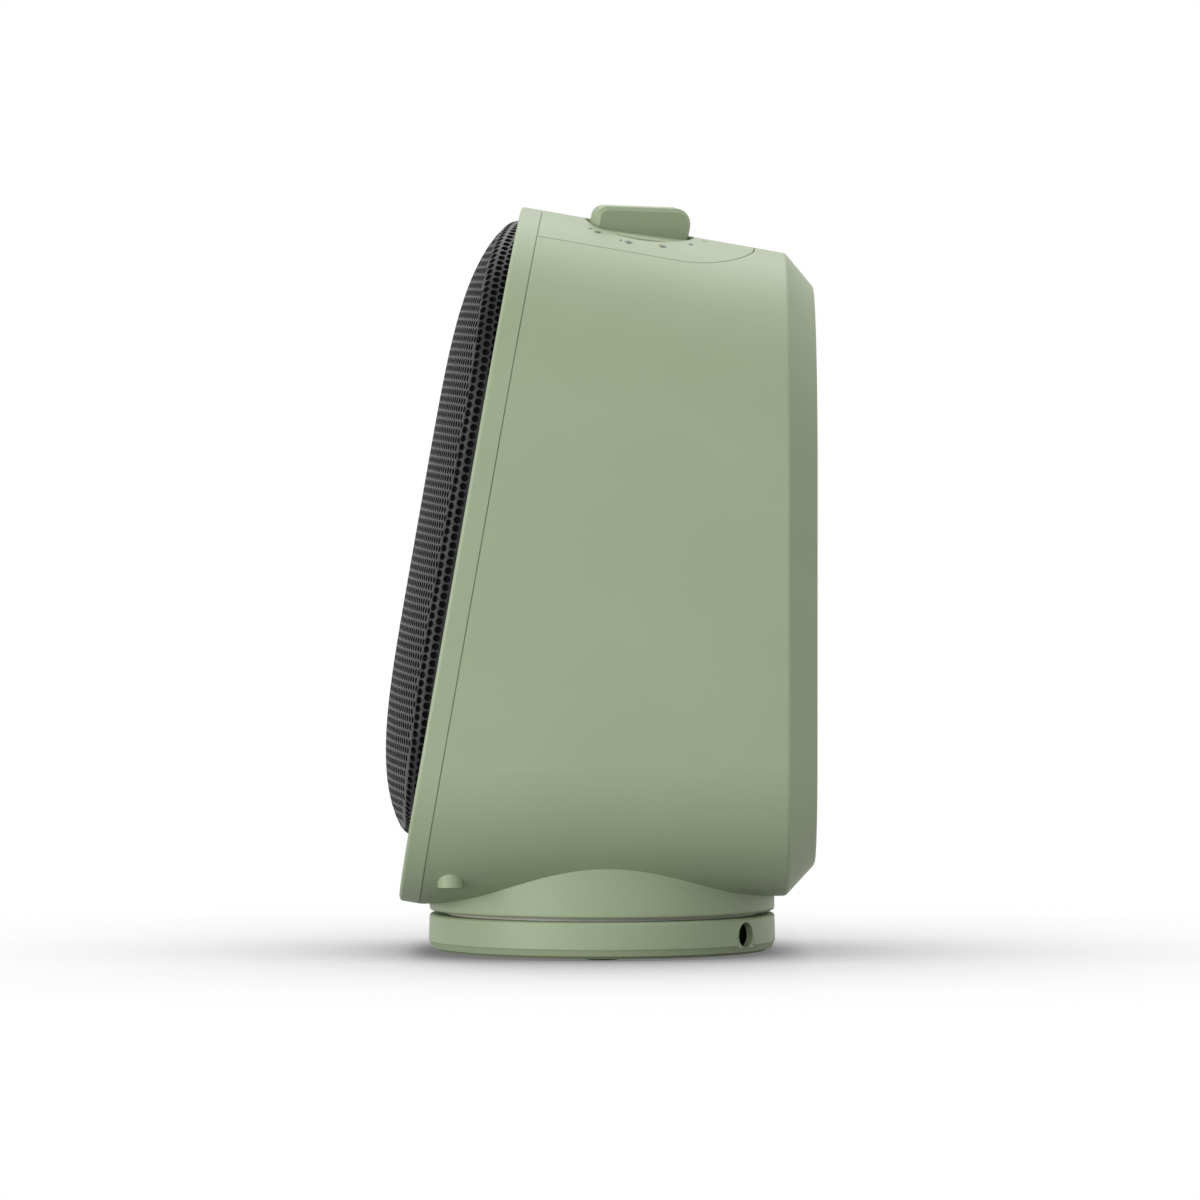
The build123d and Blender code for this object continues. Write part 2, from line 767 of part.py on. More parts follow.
with BuildPart() as bezel_screws:
    for side in (-1, 1):
        seat = level(side * boss_x, boss_y, boss_bottom_z + boss_head_depth, -1)
        add_screw(seat, boss_top_z - boss_bottom_z - boss_head_depth + lug_height)
save(bezel_screws, "bezel_screws")


def outlet_frame(distance, z=outlet_z):
    """Plane across the cord's way, at a distance from the middle of the base, facing outwards."""
    origin = outlet_direction * distance + Vector(0, 0, z)
    return Plane(origin=origin, x_dir=(0, 0, 1), z_dir=outlet_direction)


# Base shell: a low drum with an open middle, and a slot in its wall for the cord
outlet_inner = base_radius - base_wall
outlet_cut = 3 * base_wall
base_screw_points = [polar(base_screw_distance, angle) for angle in base_screw_angles]
foot_points = [polar(foot_distance, angle) for angle in foot_angles]
with BuildPart() as base_shell:
    with BuildSketch(Plane.XZ) as drum_section:
        with BuildLine():
            Polyline(
                (base_opening_radius, base_top_z),
                (base_radius, base_top_z),
                (base_radius + base_flare, cover_seam_z + seam_bevel),
                (base_radius + base_flare - seam_bevel / 2, cover_seam_z),
                (base_radius + base_flare - base_wall, cover_seam_z),
                (base_radius - base_wall, base_top_z - base_wall),
                (base_opening_radius, base_top_z - base_wall),
                close=True,
            )
        make_face()
    revolve(axis=Axis.Z)
    fillet(base_shell.edges().group_by(Axis.Z)[-1].sort_by(SortBy.RADIUS)[-1], base_edge_round)
    boss_height = base_top_z - base_wall - cover_floor_z - hole_clearance
    for x, y in base_screw_points:
        boss = level(x, y, cover_floor_z + hole_clearance)
        add_cylinder(boss, base_boss_radius, boss_height)
        cut_cylinder(boss, screw_radius, base_screw_length - cover_floor_z + cover_bottom_z)
    with BuildSketch(outlet_frame(outlet_inner - base_wall)):
        Circle(outlet_radius)
    extrude(amount=outlet_cut, mode=Mode.SUBTRACT)
    with BuildSketch(outlet_frame(outlet_inner - base_wall)):
        with Locations(((cover_seam_z - outlet_z) / 2, 0)):
            Rectangle(outlet_z - cover_seam_z, 2 * (outlet_radius + tongue_margin))
    extrude(amount=outlet_cut, mode=Mode.SUBTRACT)
save(base_shell, "base_shell")

# Base cover: the floor of the base, with a step round its edge and a tongue under the outlet
clamp_frame = outlet_frame(clamp_distance)
clamp_sides = (-clamp_post_offset, clamp_post_offset)
clamp_posts = [clamp_frame.from_local_coords((0, offset, 0)) for offset in clamp_sides]
with BuildPart() as base_cover:
    with BuildSketch(Plane.XZ) as cover_section:
        with BuildLine():
            Polyline(
                (0, cover_bottom_z),
                (cover_foot_radius - cover_foot_slope, cover_bottom_z),
                (cover_foot_radius, cover_step_z),
                (base_radius - cover_rim_taper, cover_step_z),
                (base_radius + base_flare - cover_rim_gap, cover_seam_z),
                (base_radius - base_wall, cover_seam_z),
                (base_radius - base_wall, cover_floor_z),
                (0, cover_floor_z),
                close=True,
            )
        make_face()
    revolve(axis=Axis.Z)
    with BuildSketch(outlet_frame(outlet_inner)):
        with Locations(((cover_floor_z - outlet_z) / 2, 0)):
            Rectangle(outlet_z - cover_floor_z, 2 * (outlet_radius + tongue_margin - tongue_gap))
    extrude(amount=base_wall)
    with BuildSketch(outlet_frame(outlet_inner - base_wall)):
        Circle(outlet_radius)
    extrude(amount=outlet_cut, mode=Mode.SUBTRACT)
    guide_radius_inner = plunger_radius + running_clearance
    add_cylinder(level(plunger_x, plunger_y, cover_floor_z), guide_radius, guide_top_z - cover_floor_z)
    cut_cylinder(level(plunger_x, plunger_y, cover_bottom_z), guide_radius_inner, guide_top_z)
    for post in clamp_posts:
        post_height = clamp_bottom_z - cover_floor_z
        add_cylinder(level(post.X, post.Y, cover_floor_z), clamp_post_radius, post_height)
        cut_cylinder(level(post.X, post.Y, clamp_bottom_z), screw_radius, -clamp_screw_depth)
    for x, y in foot_points:
        cut_cylinder(level(x, y, cover_bottom_z), foot_radius + hole_clearance, foot_recess)
    for x, y in base_screw_points:
        screw_point = level(x, y, cover_bottom_z)
        head_recess = screw_head_height + hole_clearance
        cut_cylinder(screw_point, screw_head_radius + hole_clearance, head_recess)
        cut_cylinder(screw_point, screw_radius + hole_clearance, cover_floor_z)
save(base_cover, "base_cover")

with BuildPart() as base_screws:
    seat_z = cover_bottom_z + screw_head_height + hole_clearance
    for x, y in base_screw_points:
        add_screw(level(x, y, seat_z, -1), base_screw_length - seat_z + cover_bottom_z)
save(base_screws, "base_screws")

with BuildPart() as rubber_feet:
    for x, y in foot_points:
        add_cylinder(level(x, y, 0), foot_radius, cover_bottom_z + foot_recess)
    fillet(rubber_feet.edges().group_by(Axis.Z)[0], foot_round)
save(rubber_feet, "rubber_feet")

# Pivot post: a flanged tube on the base that the head turns on, with a window for the cord
with BuildPart() as pivot_post:
    add_cylinder(level(0, 0, cover_floor_z), post_flange_radius, post_flange)
    add_cylinder(level(0, 0, cover_floor_z), post_radius, post_top_z - cover_floor_z)
    with BuildSketch(Plane.XY.offset(hub_top_z + retainer_gap)):
        Circle(post_radius)
        Circle(post_radius - post_groove, mode=Mode.SUBTRACT)
    extrude(amount=retainer_thickness, mode=Mode.SUBTRACT)
    cut_cylinder(level(0, 0, cover_floor_z), post_bore, post_top_z)
    with BuildSketch(outlet_frame(0, gear_bottom_z + cord_radius + hole_clearance)):
        Rectangle(2 * cord_radius, 2 * cord_radius)
    extrude(amount=post_radius, mode=Mode.SUBTRACT)
save(pivot_post, "pivot_post")

with BuildPart() as swivel_retainer:
    with BuildSketch(Plane.XY.offset(hub_top_z + retainer_gap)):
        Circle(retainer_radius)
        Circle(post_radius - post_groove, mode=Mode.SUBTRACT)
    extrude(amount=retainer_thickness)
save(swivel_retainer, "swivel_retainer")

with BuildPart() as swivel_washer:
    with BuildSketch(Plane.XY.offset(base_top_z)):
        Circle(washer_outer)
        Circle(washer_inner, mode=Mode.SUBTRACT)
    extrude(amount=collar_bottom_z - washer_gap - base_top_z)
save(swivel_washer, "swivel_washer")


def gear_face_outline(teeth, first_angle):
    """Toothed disc with straight flanks, one tooth centred on the first angle."""
    pitch_radius = gear_module * teeth / 2
    half_tooth = (pi * gear_module / 2 - gear_backlash) / 2
    slope = tan(radians(gear_pressure_angle))
    tip_radius = pitch_radius + gear_addendum
    root_radius = pitch_radius - gear_dedendum
    tip_angle = degrees((half_tooth - gear_addendum * slope) / tip_radius)
    root_angle = degrees((half_tooth + gear_dedendum * slope) / root_radius)
    points = []
    for tooth in range(teeth):
        middle = first_angle + 360 * tooth / teeth
        points.append(polar(root_radius, middle - root_angle))
        points.append(polar(tip_radius, middle - tip_angle))
        points.append(polar(tip_radius, middle + tip_angle))
        points.append(polar(root_radius, middle + root_angle))
    with BuildSketch() as outline:
        with BuildLine():
            Polyline(*points, close=True)
        make_face()
    return outline.sketch


# Swing sector: the fixed teeth round the front of the post, cut from a whole wheel by a wedge
drive_angle = 270
wedge_radius = 2 * pinion_distance
wedge_start = polar(wedge_radius, drive_angle - sector_half_angle)
wedge_end = polar(wedge_radius, drive_angle + sector_half_angle)
with BuildPart() as swing_sector:
    with BuildSketch(Plane.XY.offset(gear_bottom_z)):
        add(gear_face_outline(sector_teeth, drive_angle))
        with BuildLine():
            Line((0, 0), wedge_start)
            ThreePointArc(wedge_start, polar(wedge_radius, drive_angle), wedge_end)
            Line(wedge_end, (0, 0))
        make_face(mode=Mode.INTERSECT)
        Circle(post_radius, mode=Mode.SUBTRACT)
    extrude(amount=gear_face)
save(swing_sector, "swing_sector")

# Swing pinion with its shaft, which hangs from the motor through the collar's floor
with BuildPart() as swing_pinion:
    with BuildSketch(Plane.XY.offset(gear_bottom_z)):
        with Locations((0, -pinion_distance)):
            add(gear_face_outline(pinion_teeth, 90 + 180 / pinion_teeth))
    extrude(amount=gear_face)
    pinion_top_z = gear_bottom_z + gear_face
    shaft_top_z = swing_motor_z + motor_shaft_depth
    add_cylinder(level(0, -pinion_distance, pinion_top_z), pinion_shaft_radius, shaft_top_z - pinion_top_z)
save(swing_pinion, "swing_pinion")

with BuildPart() as swing_motor:
    add_cylinder(level(0, -pinion_distance, swing_motor_z), swing_motor_radius, swing_motor_height)
    fillet(swing_motor.edges().sort_by(Axis.Z)[-1], swing_motor_round)
    with BuildSketch(Plane.XY.offset(swing_motor_z)):
        with Locations((0, -pinion_distance)):
            SlotCenterToCenter(2 * swing_ear_reach, 2 * swing_ear_radius)
            with Locations((-swing_ear_reach, 0), (swing_ear_reach, 0)):
                Circle(screw_radius + hole_clearance, mode=Mode.SUBTRACT)
    extrude(amount=swing_ear_thickness)
    bore_radius = pinion_shaft_radius + running_clearance
    bore_depth = motor_shaft_depth + shaft_end_gap
    cut_cylinder(level(0, -pinion_distance, swing_motor_z), bore_radius, bore_depth)
save(swing_motor, "swing_motor")

with BuildPart() as swing_motor_screws:
    for side in (-1, 1):
        seat = level(side * swing_ear_reach, -pinion_distance, swing_motor_z + swing_ear_thickness)
        add_screw(seat, swing_ear_thickness + pillar_screw_depth)
save(swing_motor_screws, "swing_motor_screws")

# Cord clamp: a bar screwed down on two posts, with a groove for the cord
with BuildPart() as cord_clamp:
    with BuildSketch(outlet_frame(clamp_distance, (clamp_bottom_z + clamp_top_z) / 2)):
        Rectangle(clamp_top_z - clamp_bottom_z, clamp_length)
    extrude(amount=clamp_width / 2, both=True)
    with BuildSketch(outlet_frame(clamp_distance)):
        Circle(cord_radius)
    extrude(amount=clamp_width, both=True, mode=Mode.SUBTRACT)
    for post in clamp_posts:
        post_top = level(post.X, post.Y, clamp_top_z)
        cut_cylinder(post_top, screw_radius + hole_clearance, -clamp_top_z)
        cut_cylinder(post_top, screw_head_radius + hole_clearance, -screw_head_height)
save(cord_clamp, "cord_clamp")

with BuildPart() as clamp_screws:
    for post in clamp_posts:
        seat = level(post.X, post.Y, clamp_top_z - screw_head_height)
        add_screw(seat, clamp_top_z - screw_head_height - clamp_bottom_z + clamp_screw_depth)
save(clamp_screws, "clamp_screws")

# Tip-over switch: its sprung plunger is pressed in while the heater stands up
plunger_foot = level(plunger_x, plunger_y, plunger_lift)
with BuildPart() as tip_plunger:
    add_cylinder(plunger_foot, plunger_radius, plunger_collar_z + plunger_collar_height - plunger_lift)
    fillet(tip_plunger.edges().sort_by(Axis.Z)[0], plunger_round)
    plunger_neck = level(plunger_x, plunger_y, plunger_collar_z)
    add_cylinder(plunger_neck, plunger_collar_radius, plunger_collar_height)
save(tip_plunger, "tip_plunger")

with BuildPart() as tip_switch:
    with BuildSketch(Plane.XY.offset(cover_floor_z)):
        with Locations((plunger_x, plunger_y)):
            Rectangle(tip_switch_length, tip_switch_width)
    extrude(amount=tip_switch_top_z - cover_floor_z)
    chamber_depth = tip_chamber_top_z - cover_floor_z
    cut_cylinder(level(plunger_x, plunger_y, cover_floor_z), tip_chamber_radius, chamber_depth)
save(tip_switch, "tip_switch")

spring_foot_z = plunger_collar_z + plunger_collar_height + spring_wire
spring_length = tip_chamber_top_z - spring_wire - spring_foot_z
with BuildPart() as tip_spring:
    with BuildLine(Plane(origin=(plunger_x, plunger_y, spring_foot_z))) as spring_line:
        Helix(pitch=spring_length / spring_turns, height=spring_length, radius=spring_radius)
    with BuildSketch(Plane(origin=spring_line.line @ 0, z_dir=spring_line.line % 0)):
        Circle(spring_wire)
    sweep()
save(tip_spring, "tip_spring")

# Air duct: a partition across the head with a round tunnel for the fan
bracket_lug_points = [polar(bracket_lug_distance, angle) for angle in bracket_lug_angles]
with BuildPart() as air_duct:
    with BuildSketch(face_frame(0, duct_plate_front)):
        with Locations((0, (duct_plate_bottom + duct_plate_top) / 2)):
            Rectangle(2 * half_width, duct_plate_top - duct_plate_bottom)
    extrude(amount=-duct_plate)
    add(head_volume(wall + duct_fit), mode=Mode.INTERSECT)
    tunnel_frame = face_frame(air_height, duct_plate_front)
    tunnel_length = duct_rear - duct_plate_front
    add_cylinder(tunnel_frame, duct_radius + duct_wall, tunnel_length)
    with BuildSketch(face_frame(air_height, duct_rear)):
        with Locations(*bracket_lug_points):
            Circle(bracket_lug_radius)
    extrude(amount=bracket_lug_depth)
    with BuildSketch(face_frame(air_height, duct_rear)):
        with Locations(*bracket_lug_points):
            Circle(screw_radius)
    extrude(amount=bracket_lug_depth, mode=Mode.SUBTRACT)
    cut_cylinder(tunnel_frame, duct_radius, tunnel_length)
    with BuildSketch(face_frame(0, duct_plate_front)):
        with Locations(*duct_screw_points):
            Circle(screw_radius + hole_clearance)
        with Locations(*[(x, y + air_height) for x, y in frame_screw_points]):
            Circle(screw_radius)
    extrude(amount=-duct_plate, mode=Mode.SUBTRACT)
save(air_duct, "air_duct")

with BuildPart() as duct_screws:
    for point in duct_screw_points:
        origin = face_plane.from_local_coords((*point, duct_plate_front))
        seat = Plane(origin=origin, x_dir=(1, 0, 0), z_dir=face_normal)
        add_screw(seat, duct_plate + duct_boss_depth / 2)
save(duct_screws, "duct_screws")

# Heater frame: a flanged box that holds the heating element in front of the tunnel
frame_rear = face_frame(air_height, duct_plate_front)
with BuildPart() as heater_frame:
    with BuildSketch(frame_rear):
        RectangleRounded(frame_flange_width, frame_flange_height, frame_screw_inset)
    extrude(amount=frame_flange)
    with BuildSketch(frame_rear):
        Rectangle(heater_width + 2 * frame_wall, fin_stack_height + 2 * frame_wall)
    extrude(amount=frame_depth)
    with BuildSketch(frame_rear):
        Rectangle(heater_width, fin_stack_height)
    extrude(amount=frame_depth, mode=Mode.SUBTRACT)
    with BuildSketch(frame_rear):
        with Locations(*frame_screw_points):
            Circle(screw_radius + hole_clearance)
    extrude(amount=frame_flange, mode=Mode.SUBTRACT)
save(heater_frame, "heater_frame")

with BuildPart() as heater_screws:
    for point in frame_screw_points:
        origin = frame_rear.from_local_coords((*point, frame_flange))
        seat = Plane(origin=origin, x_dir=(1, 0, 0), z_dir=face_normal)
        add_screw(seat, frame_flange + duct_plate)
save(heater_screws, "heater_screws")

# Heating element: banks of aluminium fins with ceramic stones between them
fin_frame = face_frame(air_height, duct_plate_front + (frame_depth - fin_depth) / 2)
row_pitch = fin_bank_height + stone_height
with BuildPart() as heater_fins:
    with BuildSketch(fin_frame):
        with GridLocations(0, row_pitch, 1, fin_bank_count):
            Rectangle(heater_width, fin_bank_height)
        with GridLocations(0, row_pitch, 1, fin_bank_count):
            fin_gap = (heater_width - fin_count * fin_thickness) / (fin_count - 1)
            with GridLocations(fin_gap + fin_thickness, 0, fin_count - 1, 1):
                Rectangle(fin_gap, fin_bank_height - 2 * fin_plate, mode=Mode.SUBTRACT)
    extrude(amount=fin_depth)
save(heater_fins, "heater_fins")

with BuildPart() as ceramic_stones:
    with BuildSketch(fin_frame):
        with GridLocations(0, row_pitch, 1, fin_bank_count - 1):
            Rectangle(heater_width, stone_height)
    extrude(amount=fin_depth)
save(ceramic_stones, "ceramic_stones")

# Thermal cutout on the partition above the element, and a fuse on top of the frame
with BuildPart() as thermal_cutout:
    add_cylinder(face_frame(air_height + cutout_rise, duct_plate_front), cutout_radius, cutout_height)
    with BuildSketch(face_frame(air_height + cutout_rise, duct_plate_front)):
        SlotOverall(4 * cutout_radius, cutout_radius)
    extrude(amount=frame_flange / 2)
save(thermal_cutout, "thermal_cutout")

fuse_height = air_height + fin_stack_height / 2 + frame_wall + fuse_radius
with BuildPart() as thermal_fuse:
    fuse_depth = duct_plate_front + frame_depth / 2
    fuse_end = face_plane.from_local_coords((-fuse_length / 2, fuse_height, fuse_depth))
    add_cylinder(Plane(origin=fuse_end, x_dir=(0, 1, 0), z_dir=(1, 0, 0)), fuse_radius, fuse_length)
save(thermal_fuse, "thermal_fuse")

# Motor bracket: a ring on the rear of the tunnel, with spokes to a middle plate
bracket_front = face_frame(air_height, duct_rear)
with BuildPart() as motor_bracket:
    with BuildSketch(bracket_front):
        Circle(duct_radius + duct_wall)
        Circle(duct_radius, mode=Mode.SUBTRACT)
        with Locations(*bracket_lug_points):
            Circle(bracket_lug_radius)
            Circle(screw_radius + hole_clearance, mode=Mode.SUBTRACT)
        for angle in bracket_lug_angles:
            with Locations(Location((0, 0, 0), (0, 0, angle))):
                with Locations(((duct_radius + duct_wall) / 2, 0)):
                    Rectangle(duct_radius + duct_wall / 2, bracket_spoke)
        Circle(bracket_hub_radius)
        Circle(motor_boss_radius, mode=Mode.SUBTRACT)
        with Locations((-motor_screw_distance, 0), (motor_screw_distance, 0)):
            Circle(screw_radius + hole_clearance, mode=Mode.SUBTRACT)
    extrude(amount=-bracket_thickness)
save(motor_bracket, "motor_bracket")

with BuildPart() as bracket_screws:
    for point in bracket_lug_points:
        origin = bracket_front.from_local_coords((*point, -bracket_thickness))
        seat = Plane(origin=origin, x_dir=(1, 0, 0), z_dir=-face_normal)
        add_screw(seat, bracket_thickness + bracket_lug_depth)
save(bracket_screws, "bracket_screws")

# Fan motor behind the bracket, and the fan wheel on its shaft inside the tunnel
motor_front = face_frame(air_height, duct_rear - bracket_thickness)
with BuildPart() as fan_motor:
    add_cylinder(motor_front, motor_radius, -motor_length)
    fillet(fan_motor.edges().filter_by(GeomType.CIRCLE), motor_round)
    add_cylinder(motor_front, motor_boss_radius, motor_boss_length)
    motor_bore = face_frame(air_height, duct_rear - bracket_thickness + motor_boss_length)
    cut_cylinder(motor_bore, motor_shaft_radius + running_clearance, -motor_boss_length - motor_length / 2)
    with BuildSketch(motor_front):
        with Locations((-motor_screw_distance, 0), (motor_screw_distance, 0)):
            Circle(screw_radius)
    extrude(amount=-motor_screw_depth, mode=Mode.SUBTRACT)
save(fan_motor, "fan_motor")

with BuildPart() as motor_screws:
    for side in (-1, 1):
        origin = bracket_front.from_local_coords((side * motor_screw_distance, 0, 0))
        seat = Plane(origin=origin, x_dir=(1, 0, 0), z_dir=face_normal)
        add_screw(seat, bracket_thickness + motor_screw_depth)
save(motor_screws, "motor_screws")

shaft_rear = duct_rear - bracket_thickness - motor_length / 2 + shaft_end_gap
with BuildPart() as motor_shaft:
    add_cylinder(face_frame(air_height, shaft_rear), motor_shaft_radius, fan_hub_front - shaft_rear)
save(motor_shaft, "motor_shaft")

fan_blade_root = fan_hub_radius - fan_blade_thickness
with BuildPart() as fan_blade:
    for distance, pitch in ((fan_blade_root, fan_root_pitch), (fan_radius, fan_tip_pitch)):
        origin = face_plane.from_local_coords((distance, air_height, fan_middle))
        section_plane = Plane(origin=origin, x_dir=face_plane.y_dir, z_dir=(1, 0, 0))
        with BuildSketch(section_plane.rotated((0, 0, pitch))):
            Rectangle(fan_blade_chord, fan_blade_thickness)
    loft(ruled=True)

fan_axis = Axis(face_frame(air_height).origin, face_normal)
with BuildPart() as fan_wheel:
    add_cylinder(face_frame(air_height, fan_hub_rear), fan_hub_radius, fan_hub_front - fan_hub_rear)
    fillet(fan_wheel.edges().sort_by(face_axis)[-1], fan_nose_round)
    for blade in range(fan_blade_count):
        add(fan_blade.part.rotate(fan_axis, 360 * blade / fan_blade_count))
    cut_cylinder(face_frame(air_height, fan_hub_rear), motor_shaft_radius, fan_hub_front - fan_hub_rear)
save(fan_wheel, "fan_wheel")

# Terminal block on the collar's floor, where the cord's wires end
with BuildPart() as terminal_block:
    with BuildSketch(Plane.XY.offset(collar_bottom_z + collar_floor)):
        with Locations((0, terminal_y)):
            Rectangle(terminal_length, terminal_width)
    extrude(amount=terminal_height)
    with BuildSketch(Plane.XY.offset(collar_bottom_z + collar_floor + terminal_height)):
        with Locations((0, terminal_y)):
            with GridLocations(terminal_screw_pitch, 0, 3, 1):
                Circle(screw_head_radius)
    extrude(amount=-terminal_height / 2, mode=Mode.SUBTRACT)
save(terminal_block, "terminal_block")
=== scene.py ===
import json
from math import atan2, cos, degrees, pi, radians, sin, sqrt, tan

import bpy
from mathutils import Matrix, Vector
from mathutils.bvhtree import BVHTree
from mathutils.geometry import delaunay_2d_cdt


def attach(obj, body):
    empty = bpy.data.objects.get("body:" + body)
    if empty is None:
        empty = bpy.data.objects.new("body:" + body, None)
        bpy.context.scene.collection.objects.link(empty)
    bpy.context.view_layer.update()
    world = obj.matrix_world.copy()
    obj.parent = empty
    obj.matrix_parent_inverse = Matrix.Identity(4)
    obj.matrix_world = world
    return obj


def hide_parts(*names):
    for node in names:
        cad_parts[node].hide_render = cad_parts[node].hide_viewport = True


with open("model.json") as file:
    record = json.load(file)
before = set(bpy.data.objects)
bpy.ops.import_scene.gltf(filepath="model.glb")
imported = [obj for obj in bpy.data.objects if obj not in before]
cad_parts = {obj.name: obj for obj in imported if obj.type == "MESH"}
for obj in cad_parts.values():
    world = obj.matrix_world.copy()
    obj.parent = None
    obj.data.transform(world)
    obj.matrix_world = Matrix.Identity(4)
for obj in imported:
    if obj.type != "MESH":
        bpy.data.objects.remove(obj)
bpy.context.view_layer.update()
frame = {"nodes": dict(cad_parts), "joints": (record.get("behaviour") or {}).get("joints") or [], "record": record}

# Ceramic fan heater on a white table: leaning arched head, domed black grille, top knob, round base.
# The scene is in metres in the heater's own frame: +Z up, -Y is the warm air side, +X the dial side.
# The sizes of the grille and of the dial marks are in millimetres, and become metres where a point is made.

scene = bpy.context.scene
mm = 0.001

# The head's leaning face: u across, v up along the face, w forward from the seam behind the bezel
face_lean = radians(10)
face_origin = Vector((0, -62.8, 16.7)) * mm
face_up = Vector((0, sin(face_lean), cos(face_lean)))
face_normal = Vector((0, -cos(face_lean), sin(face_lean)))
face_axes = Matrix((Vector((1, 0, 0)), face_up, face_normal)).transposed().to_4x4()
face_matrix = Matrix.Translation(face_origin) @ face_axes

# The knob's frame on the panel, about the axis that the dial turns on
dial_joint = next(joint for joint in frame["joints"] if joint["name"] == "mode_dial")
knob_origin = Vector(dial_joint["pos_m"])
knob_axis = Vector(dial_joint["axis"])
knob_rearward = Vector((0, cos(face_lean), -sin(face_lean)))
knob_sideward = knob_rearward.cross(knob_axis)


# Small tools for nodes, colours and pieces

# Sockets of a colour mix: its two ends and its result
first_colour, second_colour, mixed_colour = 6, 7, 2
# The fine patterns keep to about this range, which is stretched over their tones and their gloss
noise_range = {"From Min": 0.3, "From Max": 0.7}


def put(tree, kind, inputs=None, **settings):
    """Adds a node, sets its properties, and fills its inputs with values or with links."""
    node = tree.nodes.new(kind)
    for name, value in settings.items():
        setattr(node, name, value)
    for key, value in (inputs or {}).items():
        if isinstance(value, bpy.types.Node):
            value = value.outputs[0]
        if isinstance(value, bpy.types.NodeSocket):
            tree.links.new(value, node.inputs[key])
        else:
            node.inputs[key].default_value = value
    return node


def linear(code):
    """Linear colour of an sRGB hex code."""
    parts = [int(code[i:i + 2], 16) / 255 for i in (1, 3, 5)]
    return (*[c / 12.92 if c <= 0.04045 else ((c + 0.055) / 1.055) ** 2.4 for c in parts], 1.0)


def tone_ends(first, second):
    """The two ends of a colour mix, from sRGB hex codes."""
    return {first_colour: linear(first), second_colour: linear(second)}


def new_material(name):
    """Empty material, its nodes, and the coordinates of the piece that it covers."""
    material = bpy.data.materials.new(name)
    material.use_nodes = True
    tree = material.node_tree
    tree.nodes.clear()
    place = put(tree, "ShaderNodeTexCoord").outputs["Object"]
    return material, tree, place


def make_piece(name, mesh, material):
    """Object at the origin, with its place in its mesh."""
    piece = bpy.data.objects.new(name, mesh)
    scene.collection.objects.link(piece)
    piece.data.materials.clear()
    piece.data.materials.append(material)
    return piece


# Materials. A moulding's grain is really a tenth of a millimetre or less, too fine to show from a step
# away, so each is drawn as coarse as it needs to show.

cloud_size = 45 * mm
pit_speckle = 0.16
line_width = 0.6 * mm


def moulded_plastic(name, tones, grain, depth, roughness, ior):
    """Injection moulding with a spark-eroded grain: fine pits, slow clouds of tone, even gloss."""
    material, tree, place = new_material(name)
    clouds = put(tree, "ShaderNodeTexNoise", {"Vector": place, "Scale": 1 / cloud_size, "Detail": 3})
    pits = put(tree, "ShaderNodeTexNoise",
               {"Vector": place, "Scale": 1 / grain, "Detail": 2, "Roughness": 0.6})
    speckle = put(tree, "ShaderNodeMapRange",
                  {"Value": pits, **noise_range, "To Min": -pit_speckle, "To Max": pit_speckle})
    blend = put(tree, "ShaderNodeMath", {0: clouds, 1: speckle}, operation="ADD")
    tone = put(tree, "ShaderNodeMapRange", {"Value": blend, **noise_range})
    colour = put(tree, "ShaderNodeMix", {0: tone, **tone_ends(*tones)}, data_type="RGBA")
    gloss = put(tree, "ShaderNodeMapRange",
                {"Value": pits, **noise_range, "To Min": roughness[0], "To Max": roughness[1]})
    shader = put(tree, "ShaderNodeBsdfPrincipled", {
        "Base Color": colour.outputs[mixed_colour],
        "Roughness": gloss,
        "Normal": put(tree, "ShaderNodeBump", {"Height": pits, "Distance": depth, "Strength": 1.0}),
        "IOR": ior,
    })
    put(tree, "ShaderNodeOutputMaterial", {"Surface": shader})
    return material


def worked_metal(name, tones, stretch, roughness):
    """Metal with the fine lines that rolling or turning leaves along one direction."""
    material, tree, place = new_material(name)
    along = put(tree, "ShaderNodeMapping", {"Vector": place, "Scale": stretch})
    lines = put(tree, "ShaderNodeTexNoise", {"Vector": along, "Scale": 1 / line_width, "Detail": 3})
    colour = put(tree, "ShaderNodeMix", {0: lines, **tone_ends(*tones)}, data_type="RGBA")
    gloss = put(tree, "ShaderNodeMapRange",
                {"Value": lines, **noise_range, "To Min": roughness[0], "To Max": roughness[1]})
    shader = put(tree, "ShaderNodeBsdfPrincipled", {
        "Base Color": colour.outputs[mixed_colour],
        "Roughness": gloss,
        "Normal": put(tree, "ShaderNodeBump", {"Height": lines, "Distance": 0.01 * mm, "Strength": 1.0}),
        "Metallic": 1.0,
    })
    put(tree, "ShaderNodeOutputMaterial", {"Surface": shader})
    return material


# Sage green ABS, moulded against a fine spark-eroded tool: satin, with a grain that only breaks the gloss
sage_abs = moulded_plastic("moulded_sage_abs", ("#9CAA89", "#A0AE8D"), grain=0.45 * mm,
                           depth=0.012 * mm, roughness=(0.44, 0.52), ior=1.53)
# Plain black nylon of the clamp and the switches, left as it came from a polished tool
black_nylon = moulded_plastic("moulded_black_nylon", ("#141415", "#1C1C1E"), grain=0.8 * mm,
                              depth=0.01 * mm, roughness=(0.35, 0.45), ior=1.53)
# Heat-resistant PBT, off-white and matt from its mineral filler
white_pbt = moulded_plastic("moulded_white_pbt", ("#CFCCC2", "#DAD8CF"), grain=0.9 * mm,
                            depth=0.02 * mm, roughness=(0.5, 0.62), ior=1.54)
# Acetal of the running parts: smooth, waxy and faintly creamy
acetal = moulded_plastic("moulded_acetal", ("#D8D5CA", "#E2DFD6"), grain=1.2 * mm,
                         depth=0.005 * mm, roughness=(0.3, 0.4), ior=1.48)
# Moulded nitrile rubber of the feet: dull, with a dusty bloom
rubber = moulded_plastic("moulded_nitrile_rubber", ("#1A1A1A", "#252524"), grain=0.6 * mm,
                         depth=0.03 * mm, roughness=(0.75, 0.88), ior=1.52)
